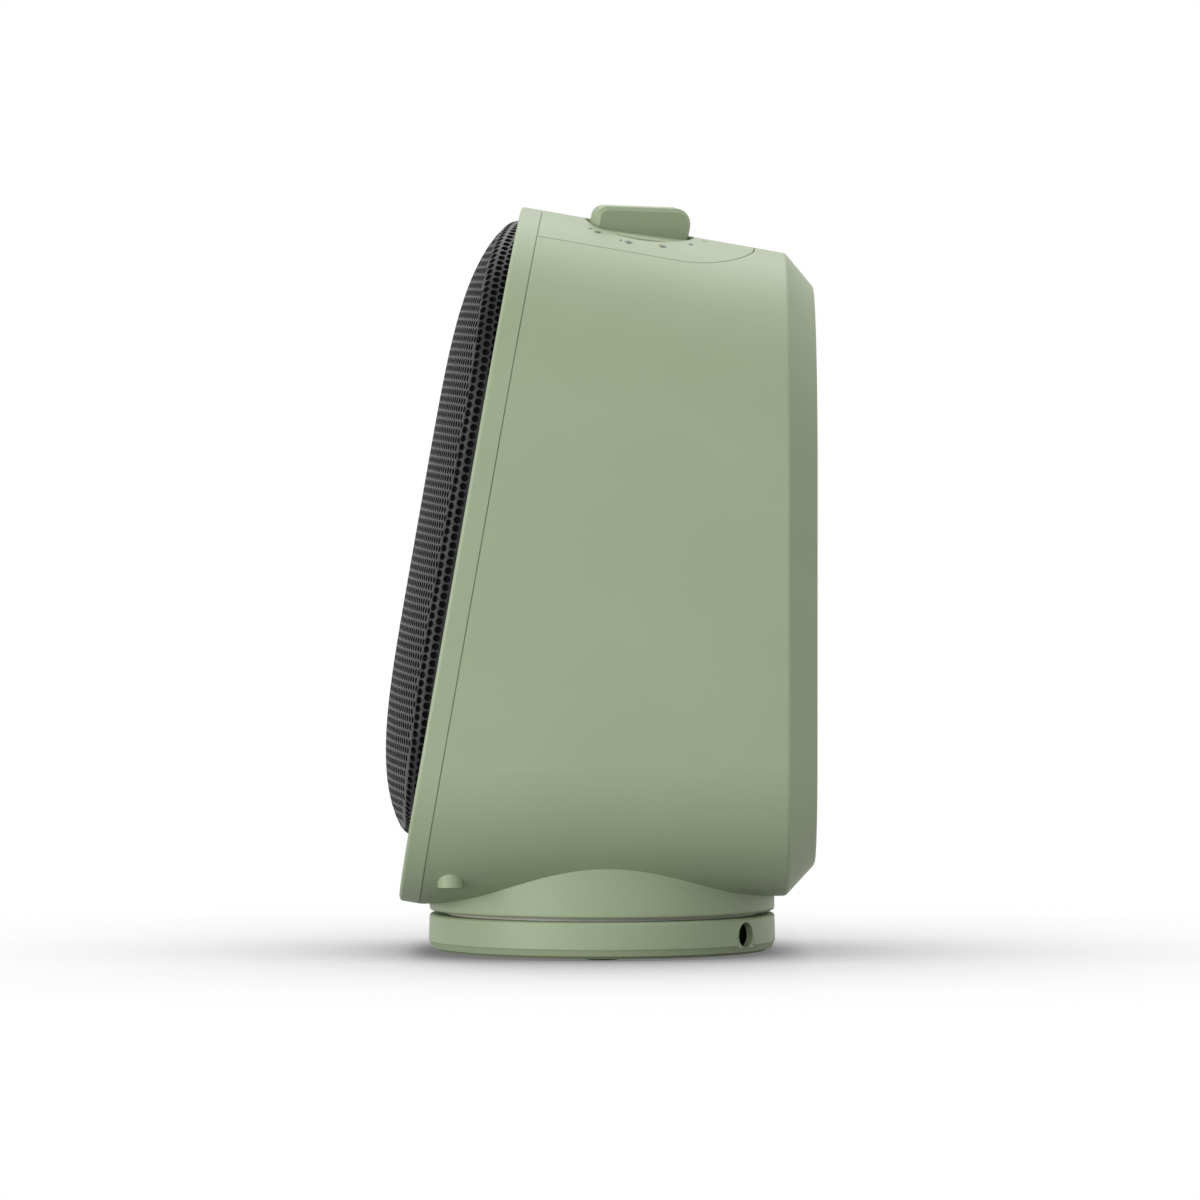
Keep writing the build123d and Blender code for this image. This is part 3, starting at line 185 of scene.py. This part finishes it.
# Zinc-plated steel of screws, shafts and motor cans, bright with fine turning lines
steel = worked_metal("zinc_plated_steel", ("#B9BCC0", "#D2D4D8"), stretch=(1, 1, 8),
                     roughness=(0.25, 0.4))
# Rolled aluminium fin stock, soft grey with rolling lines
fin_aluminium = worked_metal("rolled_aluminium_fin", ("#C3C6CA", "#DCDEE2"), stretch=(1, 8, 1),
                             roughness=(0.3, 0.45))


def perforated_nylon():
    """Black glass-filled nylon of the grille: a low gloss on its skin, dull in the bores, whose walls are darkened
    with painted shade.
    """
    material, tree, place = new_material("moulded_black_nylon_grille")
    grain = 0.5 * mm
    pits = put(tree, "ShaderNodeTexNoise",
               {"Vector": place, "Scale": 1 / grain, "Detail": 2, "Roughness": 0.6})
    tone = put(tree, "ShaderNodeMapRange", {"Value": pits, **noise_range})
    bore = put(tree, "ShaderNodeAttribute", attribute_name="bore").outputs["Fac"]
    skin = put(tree, "ShaderNodeMix", {0: tone, **tone_ends("#19191B", "#222225")}, data_type="RGBA")
    # Bore colour: the nylon darkened with painted shade, standing in for the shade inside the holes and scoops
    wall = put(tree, "ShaderNodeMix", {0: tone, **tone_ends("#0B0B0C", "#131314")}, data_type="RGBA")
    colour = put(tree, "ShaderNodeMix", {
        0: bore,
        first_colour: skin.outputs[mixed_colour],
        second_colour: wall.outputs[mixed_colour],
    }, data_type="RGBA")
    gloss = put(tree, "ShaderNodeMapRange",
                {"Value": pits, **noise_range, "To Min": 0.40, "To Max": 0.50})
    bore_dulling = 0.5
    shader = put(tree, "ShaderNodeBsdfPrincipled", {
        "Base Color": colour.outputs[mixed_colour],
        "Roughness": put(tree, "ShaderNodeMath", {0: bore, 1: bore_dulling, 2: gloss},
                         operation="MULTIPLY_ADD"),
        "Specular IOR Level": 0.3,
        "Normal": put(tree, "ShaderNodeBump", {"Height": pits, "Distance": 0.015 * mm, "Strength": 1.0}),
        "IOR": 1.53,
    })
    put(tree, "ShaderNodeOutputMaterial", {"Surface": shader})
    return material


def sintered_stone():
    """Sintered ceramic of the heating stones: pressed powder, dense and speckled."""
    material, tree, place = new_material("sintered_ceramic")
    speck_size = 0.7 * mm
    specks = put(tree, "ShaderNodeTexVoronoi", {"Vector": place, "Scale": 1 / speck_size})
    colour = put(tree, "ShaderNodeMix", {0: specks, **tone_ends("#4A4540", "#6B655E")}, data_type="RGBA")
    gloss = put(tree, "ShaderNodeMapRange",
                {"Value": specks, "From Max": 0.7, "To Min": 0.45, "To Max": 0.65})
    shader = put(tree, "ShaderNodeBsdfPrincipled", {
        "Base Color": colour.outputs[mixed_colour],
        "Roughness": gloss,
        "Normal": put(tree, "ShaderNodeBump", {"Height": specks, "Distance": 0.03 * mm, "Strength": 1.0}),
    })
    put(tree, "ShaderNodeOutputMaterial", {"Surface": shader})
    return material


def open_cell_foam():
    """Reticulated polyurethane foam of the dust filter: dark cells with paler strands between them."""
    material, tree, place = new_material("reticulated_foam")
    cell_size = 1.1 * mm
    strand_share = 0.22
    cells = put(tree, "ShaderNodeTexVoronoi", {"Vector": place, "Scale": 1 / cell_size},
                feature="DISTANCE_TO_EDGE")
    strands = put(tree, "ShaderNodeMapRange",
                  {"Value": cells.outputs["Distance"], "From Max": strand_share, "To Min": 1, "To Max": 0})
    colour = put(tree, "ShaderNodeMix", {0: strands, **tone_ends("#0B0B0C", "#3A3B3C")}, data_type="RGBA")
    shader = put(tree, "ShaderNodeBsdfPrincipled", {
        "Base Color": colour.outputs[mixed_colour],
        "Roughness": put(tree, "ShaderNodeMapRange", {"Value": strands, "To Min": 0.95, "To Max": 0.7}),
        "Normal": put(tree, "ShaderNodeBump", {"Height": strands, "Distance": 0.5 * mm, "Strength": 1.0}),
        "Sheen Weight": 0.2,
    })
    put(tree, "ShaderNodeOutputMaterial", {"Surface": shader})
    return material


def pad_printed_ink():
    """Two-part ink of the dial marks: nearly black green, thin, with a slightly uneven cover."""
    material, tree, place = new_material("pad_printed_ink")
    cover_size = 0.35 * mm
    cover = put(tree, "ShaderNodeTexNoise", {"Vector": place, "Scale": 1 / cover_size, "Detail": 2})
    colour = put(tree, "ShaderNodeMix", {0: cover, **tone_ends("#1E261C", "#2A3327")}, data_type="RGBA")
    gloss = put(tree, "ShaderNodeMapRange",
                {"Value": cover, **noise_range, "To Min": 0.4, "To Max": 0.55})
    shader = put(tree, "ShaderNodeBsdfPrincipled",
                 {"Base Color": colour.outputs[mixed_colour], "Roughness": gloss})
    put(tree, "ShaderNodeOutputMaterial", {"Surface": shader})
    return material


grille_nylon = perforated_nylon()
stone_ceramic = sintered_stone()
filter_foam = open_cell_foam()
dial_ink = pad_printed_ink()

finish_of_slot = {
    "sage_abs": sage_abs,
    "black_grille_nylon": grille_nylon,
    "black_rubber": rubber,
    "filter_foam": filter_foam,
    "white_pbt": white_pbt,
    "black_nylon": black_nylon,
    "acetal": acetal,
    "steel": steel,
    "fin_aluminium": fin_aluminium,
    "stone_ceramic": stone_ceramic,
}
for part in frame["record"]["subparts"]:
    node = frame["nodes"][part["node"]]
    node.data.materials.clear()
    node.data.materials.append(finish_of_slot[part["material_slot"]])


# Front grille: a domed sheet with a round hole at each point of a staggered field

# Arched outline on the leaning face, and the steps along each of its stretches
grille_half = 69.0
grille_foot = 22.6
grille_height = 217.3
grille_corner = 40.0
grille_belly = 240.0
belly_steps = 24
corner_steps = 16
side_steps = 24
arch_steps = 64

# Flange behind the bezel, side wall, and the bend from the side wall into the dome
bezel_depth = 7.6
flange_back = 3.1
flange_front = 5.1
flange_lap = 1.5
sheet = 2.0
bend = 2.6
bend_steps = 6

# Dome: one radius across, and a ridge that stays full along its length and falls at both ends
crown_rise = 16.6
crown_radius = 216.0
crown_reach = grille_height / 2 + 0.5
crown_middle = grille_foot + grille_height / 2
crown_flatness = 5
crown_fullness = 1.4
dome_step = 4.0

# Round holes in level rows, and the margin that stays plain along the outline
row_step = 2.67
hole_radius = 1.25
hole_margin = 3.1
skin_height = 6.0
field_length = 224.0
field_width = 140.0
cutter_sides = 8
cutter_length = 120.0
ray_start = 60.0
ray_length = 100.0

# Blind scoops in rows round the edge: each row's tilt from the face in degrees, and its drop under the bend
scoop_step = 2.9
scoop_depth = 1.4
scoop_floor = bezel_depth - 0.5
scoop_rows = [(50, 0.0), (2, 0.7), (0, 3.3), (0, 5.9)]


def crown(u, v):
    """Height of the domed skin over the seam, in millimetres."""
    share = min(abs(v - crown_middle) / crown_reach, 1)
    ridge = crown_rise * (1 - share ** crown_flatness) ** (1 / crown_fullness)
    return bezel_depth + ridge - crown_radius + sqrt(crown_radius ** 2 - u ** 2)


def arc_points(centre, radius, start, sweep, count):
    """Points along an arc, its last one left out, angles in degrees."""
    angles = [radians(start + sweep * i / count) for i in range(count)]
    return [(centre[0] + radius * cos(a), centre[1] + radius * sin(a)) for a in angles]


def arch_ring(inset):
    """Arch outline drawn in by an inset, always with as many points."""
    side_x = grille_half - grille_corner
    corner_y = grille_belly - sqrt((grille_belly - grille_corner) ** 2 - side_x ** 2)
    turn = degrees(atan2(side_x, grille_belly - corner_y))
    shoulder = grille_height - grille_half
    side = grille_half - inset
    corner = grille_corner - inset
    rise = (shoulder - corner_y) / side_steps
    points = arc_points((0, grille_belly), grille_belly - inset, 270 - turn, 2 * turn, belly_steps)
    points += arc_points((side_x, corner_y), corner, 270 + turn, 90 - turn, corner_steps)
    points += [(side, corner_y + rise * i) for i in range(side_steps)]
    points += arc_points((0, shoulder), side, 0, 180, arch_steps)
    points += [(-side, shoulder - rise * i) for i in range(side_steps)]
    points += arc_points((-side_x, corner_y), corner, 180, 90 - turn, corner_steps)
    return [(x, y + grille_foot) for x, y in points]


def scoop_seeds():
    """Points for the blind scoops on the bend and the side wall, with the skin's direction at each."""
    points, outward = [], []
    edge = [Vector(p) for p in arch_ring(0)]
    lengths = [(edge[(i + 1) % len(edge)] - edge[i]).length for i in range(len(edge))]
    count = int(sum(lengths) / scoop_step)
    for row, (tilt, below) in enumerate(scoop_rows):
        lean = radians(tilt)
        stagger = 0.5 * (row % 2)
        passed = 0.0
        i = 0
        for k in range(count):
            target = (k + stagger) * sum(lengths) / count
            while passed + lengths[i] < target:
                passed += lengths[i]
                i += 1
            along = edge[(i + 1) % len(edge)] - edge[i]
            spot = edge[i] + along * ((target - passed) / lengths[i])
            side = Vector((along.y, -along.x)).normalized()
            foot = spot - side * bend * (1 - cos(lean))
            height = crown(foot.x, foot.y) - bend * (1 - sin(lean)) - below
            if height > scoop_floor:
                points.append(Vector((foot.x, foot.y, height)) * mm)
                outward.append(Vector((side.x * cos(lean), side.y * cos(lean), sin(lean))))
    return points, outward


def domed_shell():
    """Closed shell of the grille before its holes, with the scoop points loose beside it."""
    rings = []

    def ring(inset, height):
        rings.append([(u, v, height(u, v)) for u, v in arch_ring(inset)])

    ring(-flange_lap, lambda u, v: flange_back)
    ring(-flange_lap, lambda u, v: flange_front)
    wall_foot = len(rings)
    ring(0, lambda u, v: flange_front)
    for step in range(bend_steps + 1):
        angle = pi / 2 * step / bend_steps
        drop = bend * (1 - sin(angle))
        ring(bend * (1 - cos(angle)), lambda u, v, drop=drop: crown(u, v) - drop)
    outer_rim = len(rings) - 1
    ring(bend, lambda u, v: crown(u, v) - sheet)
    inner_rim = len(rings) - 1
    ring(sheet, lambda u, v: crown(u, v) - sheet - bend / 3)
    ring(sheet, lambda u, v: flange_back)
    size = len(rings[0])
    verts = [Vector(point) * mm for points in rings for point in points]
    faces = []
    # The two rims stay apart, each under its own dome, and the last ring meets the first
    bands = [(k, k + 1) for k in range(len(rings) - 1) if k != outer_rim] + [(len(rings) - 1, 0)]
    for low, high in bands:
        for i in range(size):
            j = (i + 1) % size
            faces.append((low * size + i, low * size + j, high * size + j, high * size + i))

    # Both domes are one flat net of triangles inside the rim, lifted to the skin and to its inner side
    edge = [Vector(p) for p in arch_ring(bend)]
    rows = int(grille_height / dome_step)
    columns = int(grille_half / dome_step)
    field = [Vector((c * dome_step, grille_foot + (r + 0.5) * dome_step))
             for r in range(rows) for c in range(-columns, columns + 1)]
    clear = [p for p in field if min((p - q).length for q in edge) > dome_step / 2]
    keep_inside = 1
    same_point = 1e-5
    net = delaunay_2d_cdt(edge + clear, [], [list(range(size))], keep_inside, same_point)
    flat, _, triangles, origins, _, _ = net
    for drop, rim, faces_out in ((0, outer_rim, True), (sheet, inner_rim, False)):
        index = []
        for k, point in enumerate(flat):
            on_edge = [o for o in origins[k] if o < size]
            if on_edge:
                index.append(rim * size + on_edge[0])
            else:
                index.append(len(verts))
                verts.append(Vector((point.x, point.y, crown(point.x, point.y) - drop)) * mm)
        for triangle in triangles:
            corners = [index[k] for k in triangle]
            faces.append(corners if faces_out else corners[::-1])

    seeds, outward = scoop_seeds()
    skin_count = len(verts)
    mesh = bpy.data.meshes.new("domed_shell")
    mesh.from_pydata(verts + seeds, [], faces)
    count = len(mesh.vertices)
    rim_flag = mesh.attributes.new("rim", "BOOLEAN", "POINT")
    rim_flag.data.foreach_set("value", [i // size == wall_foot for i in range(count)])
    seed_flag = mesh.attributes.new("scoop_seed", "BOOLEAN", "POINT")
    seed_flag.data.foreach_set("value", [i >= skin_count for i in range(count)])
    aim = mesh.attributes.new("outward", "FLOAT_VECTOR", "POINT")
    aim.data.foreach_set("vector", [c for v in [Vector((0, 0, 1))] * skin_count + outward for c in v])
    return mesh


def perforation_tree():
    """Cuts a staggered field of round holes square to the face, and a blind scoop at each loose point."""
    tree = bpy.data.node_groups.new("perforated_sheet", "GeometryNodeTree")
    tree.interface.new_socket(name="Shell", in_out="INPUT", socket_type="NodeSocketGeometry")
    tree.interface.new_socket(name="Sheet", in_out="OUTPUT", socket_type="NodeSocketGeometry")
    sizes = {
        "Row step": ("NodeSocketFloat", row_step * mm),
        "Hole radius": ("NodeSocketFloat", hole_radius * mm),
        "Scoop depth": ("NodeSocketFloat", scoop_depth * mm),
        "Hole margin": ("NodeSocketFloat", hole_margin * mm),
        "Skin height": ("NodeSocketFloat", skin_height * mm),
        "Field length": ("NodeSocketFloat", field_length * mm),
        "Field width": ("NodeSocketFloat", field_width * mm),
        "Middle": ("NodeSocketVector", (0, crown_middle * mm, 0)),
        "Finish": ("NodeSocketMaterial", grille_nylon),
    }
    keys = {}
    for name, (kind, value) in sizes.items():
        socket = tree.interface.new_socket(name=name, in_out="INPUT", socket_type=kind)
        socket.default_value = value
        keys[name] = socket.identifier
    given = put(tree, "NodeGroupInput").outputs

    # Grid with an odd count each way, and then every other row shifted by half a step
    across = put(tree, "ShaderNodeMath", {0: given["Row step"], 1: 2 / sqrt(3)}, operation="MULTIPLY")
    spans = []
    for reach, pitch in ((given["Field width"], across), (given["Field length"], given["Row step"])):
        steps = put(tree, "ShaderNodeMath", {0: reach, 1: pitch}, operation="DIVIDE")
        half = put(tree, "ShaderNodeMath", {0: steps, 1: 0.5}, operation="MULTIPLY")
        whole = put(tree, "ShaderNodeMath", {0: half}, operation="ROUND")
        gaps = put(tree, "ShaderNodeMath", {0: whole, 1: 2.0}, operation="MULTIPLY")
        span = put(tree, "ShaderNodeMath", {0: pitch, 1: gaps}, operation="MULTIPLY")
        count = put(tree, "ShaderNodeMath", {0: gaps, 1: 1.0}, operation="ADD")
        spans.append((span, count))
    (width, columns), (length, rows) = spans
    grid = put(tree, "GeometryNodeMeshGrid",
               {"Size X": width, "Size Y": length, "Vertices X": columns, "Vertices Y": rows})
    spot = put(tree, "GeometryNodeInputPosition")
    spot_y = put(tree, "ShaderNodeSeparateXYZ", {0: spot}).outputs["Y"]
    row = put(tree, "ShaderNodeMath", {0: spot_y, 1: given["Row step"]}, operation="DIVIDE")
    level = put(tree, "ShaderNodeMath", {0: row}, operation="ROUND")
    odd = put(tree, "ShaderNodeMath", {0: level, 1: 2.0}, operation="FLOORED_MODULO")
    side = put(tree, "ShaderNodeMath", {0: odd, 1: 0.5}, operation="SUBTRACT")
    half_across = put(tree, "ShaderNodeMath", {0: across, 1: 0.5}, operation="MULTIPLY")
    shift_x = put(tree, "ShaderNodeMath", {0: side, 1: half_across}, operation="MULTIPLY")
    shift = put(tree, "ShaderNodeCombineXYZ", {"X": shift_x})
    staggered = put(tree, "GeometryNodeSetPosition", {"Geometry": grid, "Offset": shift})
    moved = put(tree, "GeometryNodeSetPosition", {"Geometry": staggered, "Offset": given["Middle"]})

    # A hole is cut where the dome is high enough over the seam and the outline is a margin away
    is_seed = put(tree, "GeometryNodeInputNamedAttribute", {"Name": "scoop_seed"}, data_type="BOOLEAN")
    parted = put(tree, "GeometryNodeSeparateGeometry", {"Geometry": given["Shell"], "Selection": is_seed})
    seeds, shell = parted.outputs
    is_rim = put(tree, "GeometryNodeInputNamedAttribute", {"Name": "rim"}, data_type="BOOLEAN")
    rim = put(tree, "GeometryNodeSeparateGeometry", {"Geometry": shell, "Selection": is_rim})
    flat = put(tree, "ShaderNodeVectorMath", {0: spot, 1: (1, 1, 0)}, operation="MULTIPLY")
    rim_line = put(tree, "GeometryNodeSetPosition", {"Geometry": rim, "Position": flat})
    to_rim = put(tree, "GeometryNodeProximity", {0: rim_line}, target_element="EDGES").outputs["Distance"]
    above = put(tree, "ShaderNodeVectorMath", {0: spot, 1: (0, 0, ray_start * mm)}, operation="ADD")
    drop = put(tree, "GeometryNodeRaycast", {
        "Target Geometry": shell,
        "Source Position": above,
        "Ray Direction": (0, 0, -1),
        "Ray Length": ray_length * mm,
    })
    skin_z = put(tree, "ShaderNodeSeparateXYZ", {0: drop.outputs["Hit Position"]}).outputs["Z"]
    high = put(tree, "ShaderNodeMath", {0: skin_z, 1: given["Skin height"]}, operation="GREATER_THAN")
    on_dome = put(tree, "ShaderNodeMath", {0: drop.outputs["Is Hit"], 1: high}, operation="MULTIPLY")
    off_rim = put(tree, "ShaderNodeMath", {0: to_rim, 1: given["Hole margin"]}, operation="GREATER_THAN")
    in_field = put(tree, "ShaderNodeMath", {0: on_dome, 1: off_rim}, operation="MULTIPLY")
    hole = put(tree, "GeometryNodeMeshCylinder",
               {"Vertices": cutter_sides, "Radius": given["Hole radius"], "Depth": cutter_length * mm})
    holes = put(tree, "GeometryNodeInstanceOnPoints",
                {"Points": moved, "Selection": in_field, "Instance": hole})

    # A scoop is half sunk in the skin, square to it
    twice = put(tree, "ShaderNodeMath", {0: given["Scoop depth"], 1: 2.0}, operation="MULTIPLY")
    scoop = put(tree, "GeometryNodeMeshCylinder",
                {"Vertices": cutter_sides, "Radius": given["Hole radius"], "Depth": twice})
    outward = put(tree, "GeometryNodeInputNamedAttribute", {"Name": "outward"}, data_type="FLOAT_VECTOR")
    turn = put(tree, "FunctionNodeAlignRotationToVector", {"Vector": outward}, axis="Z")
    scoops = put(tree, "GeometryNodeInstanceOnPoints",
                 {"Points": seeds, "Instance": scoop, "Rotation": turn})

    # The cut faces keep a flag that tells the material which of them are bores, so that it paints shade into them
    # and dulls their gloss
    cutters = put(tree, "GeometryNodeJoinGeometry")
    tree.links.new(holes.outputs[0], cutters.inputs[0])
    tree.links.new(scoops.outputs[0], cutters.inputs[0])
    solid_cutters = put(tree, "GeometryNodeStoreNamedAttribute", {
        "Geometry": put(tree, "GeometryNodeRealizeInstances", {0: cutters}),
        "Name": "bore",
        "Value": 1.0,
    }, data_type="FLOAT", domain="FACE")
    cut = put(tree, "GeometryNodeMeshBoolean", {"Mesh 1": shell, "Mesh 2": solid_cutters},
              operation="DIFFERENCE", solver="MANIFOLD")
    realized = put(tree, "GeometryNodeRealizeInstances", {0: cut})
    finished = put(tree, "GeometryNodeSetMaterial", {"Geometry": realized, "Material": given["Finish"]})
    put(tree, "NodeGroupOutput", {"Sheet": finished})
    return tree, keys


def make_grille():
    """Runs the perforation on the shell and lays the finished sheet on the leaning face."""
    tree, keys = perforation_tree()
    blank = bpy.data.objects.new("grille_blank", domed_shell())
    scene.collection.objects.link(blank)
    modifier = blank.modifiers.new("perforate", "NODES")
    modifier.node_group = tree
    modifier[keys["Row step"]] = row_step * mm
    modifier[keys["Finish"]] = grille_nylon
    bpy.context.view_layer.update()
    evaluated = blank.evaluated_get(bpy.context.evaluated_depsgraph_get())
    mesh = bpy.data.meshes.new_from_object(evaluated)
    blank.modifiers.clear()
    bpy.data.objects.remove(blank)
    mesh.name = "perforated_grille"
    mesh.transform(face_matrix)
    mesh.shade_smooth()
    mesh.set_sharp_from_angle(angle=radians(40))
    return make_piece("perforated_grille", mesh, grille_nylon)


grille = make_grille()
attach(grille, "head")
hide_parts("front_grille")


# Dial marks: plain symbols pad-printed round the knob, laid on the panel's curve

mark_radius = 23.4
ink_thickness = 0.05
probe_height = 10.0


def disc_shape(radius, count=16):
    """Filled disc as one polygon."""
    turns = [2 * pi * i / count for i in range(count)]
    return [[(radius * cos(turn), radius * sin(turn)) for turn in turns]]


def bar_shape(length, width):
    """Upright bar as one polygon."""
    x, y = width / 2, length / 2
    return [[(-x, -y), (x, -y), (x, y), (-x, y)]]


def sun_shape(radius, rays=8):
    """Disc with short rays round it."""
    disc_share = 0.58
    ray_start_share = 0.66
    ray_half_share = 0.11
    shapes = disc_shape(radius * disc_share)
    for ray in range(rays):
        turn = 2 * pi * ray / rays
        along = Vector((cos(turn), sin(turn)))
        side = Vector((-sin(turn), cos(turn))) * radius * ray_half_share
        inner, outer = along * radius * ray_start_share, along * radius
        shapes.append([tuple(corner) for corner in (inner - side, outer - side, outer + side, inner + side)])
    return shapes


def crescent_shape(radius, thickness, steps=8):
    """Arc of a ring that opens to one side, in quads."""
    half_angle = 55
    shift = radius * 0.7
    angles = [radians(half_angle * (2 * i / steps - 1)) for i in range(steps + 1)]
    outer = [(radius * cos(a) - shift, radius * sin(a)) for a in angles]
    inner = [((radius - thickness) * cos(a) - shift, (radius - thickness) * sin(a)) for a in angles]
    return [[inner[i], outer[i], outer[i + 1], inner[i + 1]] for i in range(steps)]


def panel_surface():
    """Search tree over the panel's own skin."""
    mesh = frame["nodes"]["control_panel"].data
    points = [vertex.co.copy() for vertex in mesh.vertices]
    return BVHTree.FromPolygons(points, [tuple(face.vertices) for face in mesh.polygons])


def make_marks():
    """All the marks as one thin printed layer that follows the panel."""
    surface = panel_surface()
    # Each mark's angle about the knob, in degrees from the rear, and its shape
    layout = [
        (135.2, crescent_shape(1.35, 0.5)),
        (126.4, sun_shape(1.25)),
        (103.8, crescent_shape(1.35, 0.5)),
        (96.9, sun_shape(1.45)),
        (67.4, sun_shape(1.5)),
        (37.8, disc_shape(0.9)),
        (13.0, bar_shape(2.0, 0.6)),
    ]
    verts, faces = [], []
    for angle, shapes in layout:
        turn = radians(angle)
        outward = knob_sideward * sin(turn) + knob_rearward * cos(turn)
        sideways = knob_axis.cross(outward)
        for shape in shapes:
            start = len(verts)
            count = len(shape)
            for x, y in shape:
                point = knob_origin + (outward * (mark_radius + y) + sideways * x) * mm
                skin = surface.ray_cast(point + knob_axis * probe_height * mm, -knob_axis)[0]
                verts.append(skin + knob_axis * ink_thickness * mm)
                verts.append(skin - knob_axis * ink_thickness * mm)
            top = [start + 2 * i for i in range(count)]
            bottom = [i + 1 for i in top]
            faces.append(top)
            faces.append(bottom[::-1])
            for i in range(count):
                j = (i + 1) % count
                faces.append([top[i], bottom[i], bottom[j], top[j]])
    mesh = bpy.data.meshes.new("dial_marks")
    mesh.from_pydata(verts, [], faces)
    mesh.validate()
    return make_piece("dial_marks", mesh, dial_ink)


marks = make_marks()
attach(marks, "head")


# Table, light and camera, in metres

table_half = 20.0
shadow_reach = 0.26


def seen_by_camera(tree):
    """One where the camera looks, also in a reflection or through something, and nought for light."""
    path = put(tree, "ShaderNodeLightPath").outputs
    first = put(tree, "ShaderNodeMath", {0: path["Is Camera Ray"], 1: path["Is Glossy Ray"]},
                operation="MAXIMUM")
    return put(tree, "ShaderNodeMath", {0: first, 1: path["Is Transmission Ray"]}, operation="MAXIMUM")


def white_table():
    """Matt white sheet, pure white to the camera, with a painted shadow: grey only where the heater stands close
    over it.
    """
    material, tree, place = new_material("matt_white_sheet")
    fibre_size = 2 * mm
    fibres = put(tree, "ShaderNodeTexNoise", {"Vector": place, "Scale": 1 / fibre_size, "Detail": 3})
    paper = put(tree, "ShaderNodeMix", {0: fibres, **tone_ends("#9C9C9C", "#A2A2A2")}, data_type="RGBA")
    bounce = put(tree, "ShaderNodeBsdfDiffuse", {"Color": paper.outputs[mixed_colour]})
    # Painted shadow: the share of open air over each point, turned into grey by a ramp and shown to the camera,
    # not cast by the lamps
    open_air = put(tree, "ShaderNodeAmbientOcclusion", {"Distance": shadow_reach}, samples=16)
    painted_shadow = put(tree, "ShaderNodeValToRGB", {"Fac": open_air.outputs["AO"]})
    darkest, lightest = painted_shadow.color_ramp.elements
    darkest.position = 0.3
    darkest.color = linear("#787878")
    lightest.position = 0.95
    lightest.color = linear("#FFFFFF")
    sheet_with_painted_shadow = put(tree, "ShaderNodeEmission", {"Color": painted_shadow, "Strength": 1.0})
    mix = put(tree, "ShaderNodeMixShader", {0: seen_by_camera(tree), 1: bounce, 2: sheet_with_painted_shadow})
    put(tree, "ShaderNodeOutputMaterial", {"Surface": mix})
    corners = [(x * table_half, y * table_half, 0) for x, y in ((-1, -1), (1, -1), (1, 1), (-1, 1))]
    mesh = bpy.data.meshes.new("table")
    mesh.from_pydata(corners, [], [(0, 1, 2, 3)])
    table = make_piece("table", mesh, material)


def studio_sky(level):
    """Even white surround at the level that lights the heater, shown white to the camera."""
    world = bpy.data.worlds.new("studio")
    world.use_nodes = True
    tree = world.node_tree
    tree.nodes.clear()
    light = put(tree, "ShaderNodeBackground", {"Color": (1, 1, 1, 1), "Strength": level})
    white = put(tree, "ShaderNodeBackground", {"Color": (1, 1, 1, 1), "Strength": 1.0})
    mix = put(tree, "ShaderNodeMixShader", {0: seen_by_camera(tree), 1: light, 2: white})
    put(tree, "ShaderNodeOutputWorld", {"Surface": mix})
    scene.world = world


def set_up(name, data, spot, direction):
    """Puts a lamp or a camera at a spot, facing one way."""
    item = bpy.data.objects.new(name, data)
    scene.collection.objects.link(item)
    item.location = spot
    item.rotation_euler = direction.to_track_quat("-Z", "Y").to_euler()
    return item


def softbox(name, spot, target, width, height, power):
    """Wide lamp that faces a point."""
    data = bpy.data.lights.new(name, "AREA")
    data.shape = "RECTANGLE"
    data.size = width
    data.size_y = height
    data.energy = power
    set_up(name, data, spot, Vector(target) - Vector(spot))


def broad_sun(name, source, strength, spread):
    """Even light from one side of the room, soft from its wide angle in degrees."""
    data = bpy.data.lights.new(name, "SUN")
    data.energy = strength
    data.angle = radians(spread)
    set_up(name, data, Vector(), -Vector(source))


def place_camera(eye, target, view_angle):
    """Long lens nearly level with the heater's side, as the product picture was taken."""
    data = bpy.data.cameras.new("product_camera")
    data.sensor_width = 36
    data.lens = data.sensor_width / 2 / tan(radians(view_angle) / 2)
    scene.camera = set_up("product_camera", data, eye, Vector(target) - Vector(eye))


white_table()
studio_sky(level=0.62)
broad_sun("ceiling_bank", source=(-0.5, 0.0, 0.87), strength=1.3, spread=50)
broad_sun("camera_side_fill", source=(0.97, -0.1, 0.2), strength=0.25, spread=30)
softbox("front_strip", spot=(0.85, -0.95, 0.22), target=(0, 0, 0.13), width=0.8, height=0.45, power=7.0)
place_camera(eye=(2.7, -0.0007, 0.166), target=(0, -0.0007, 0.1221), view_angle=8.84)
scene.view_settings.view_transform = "Standard"
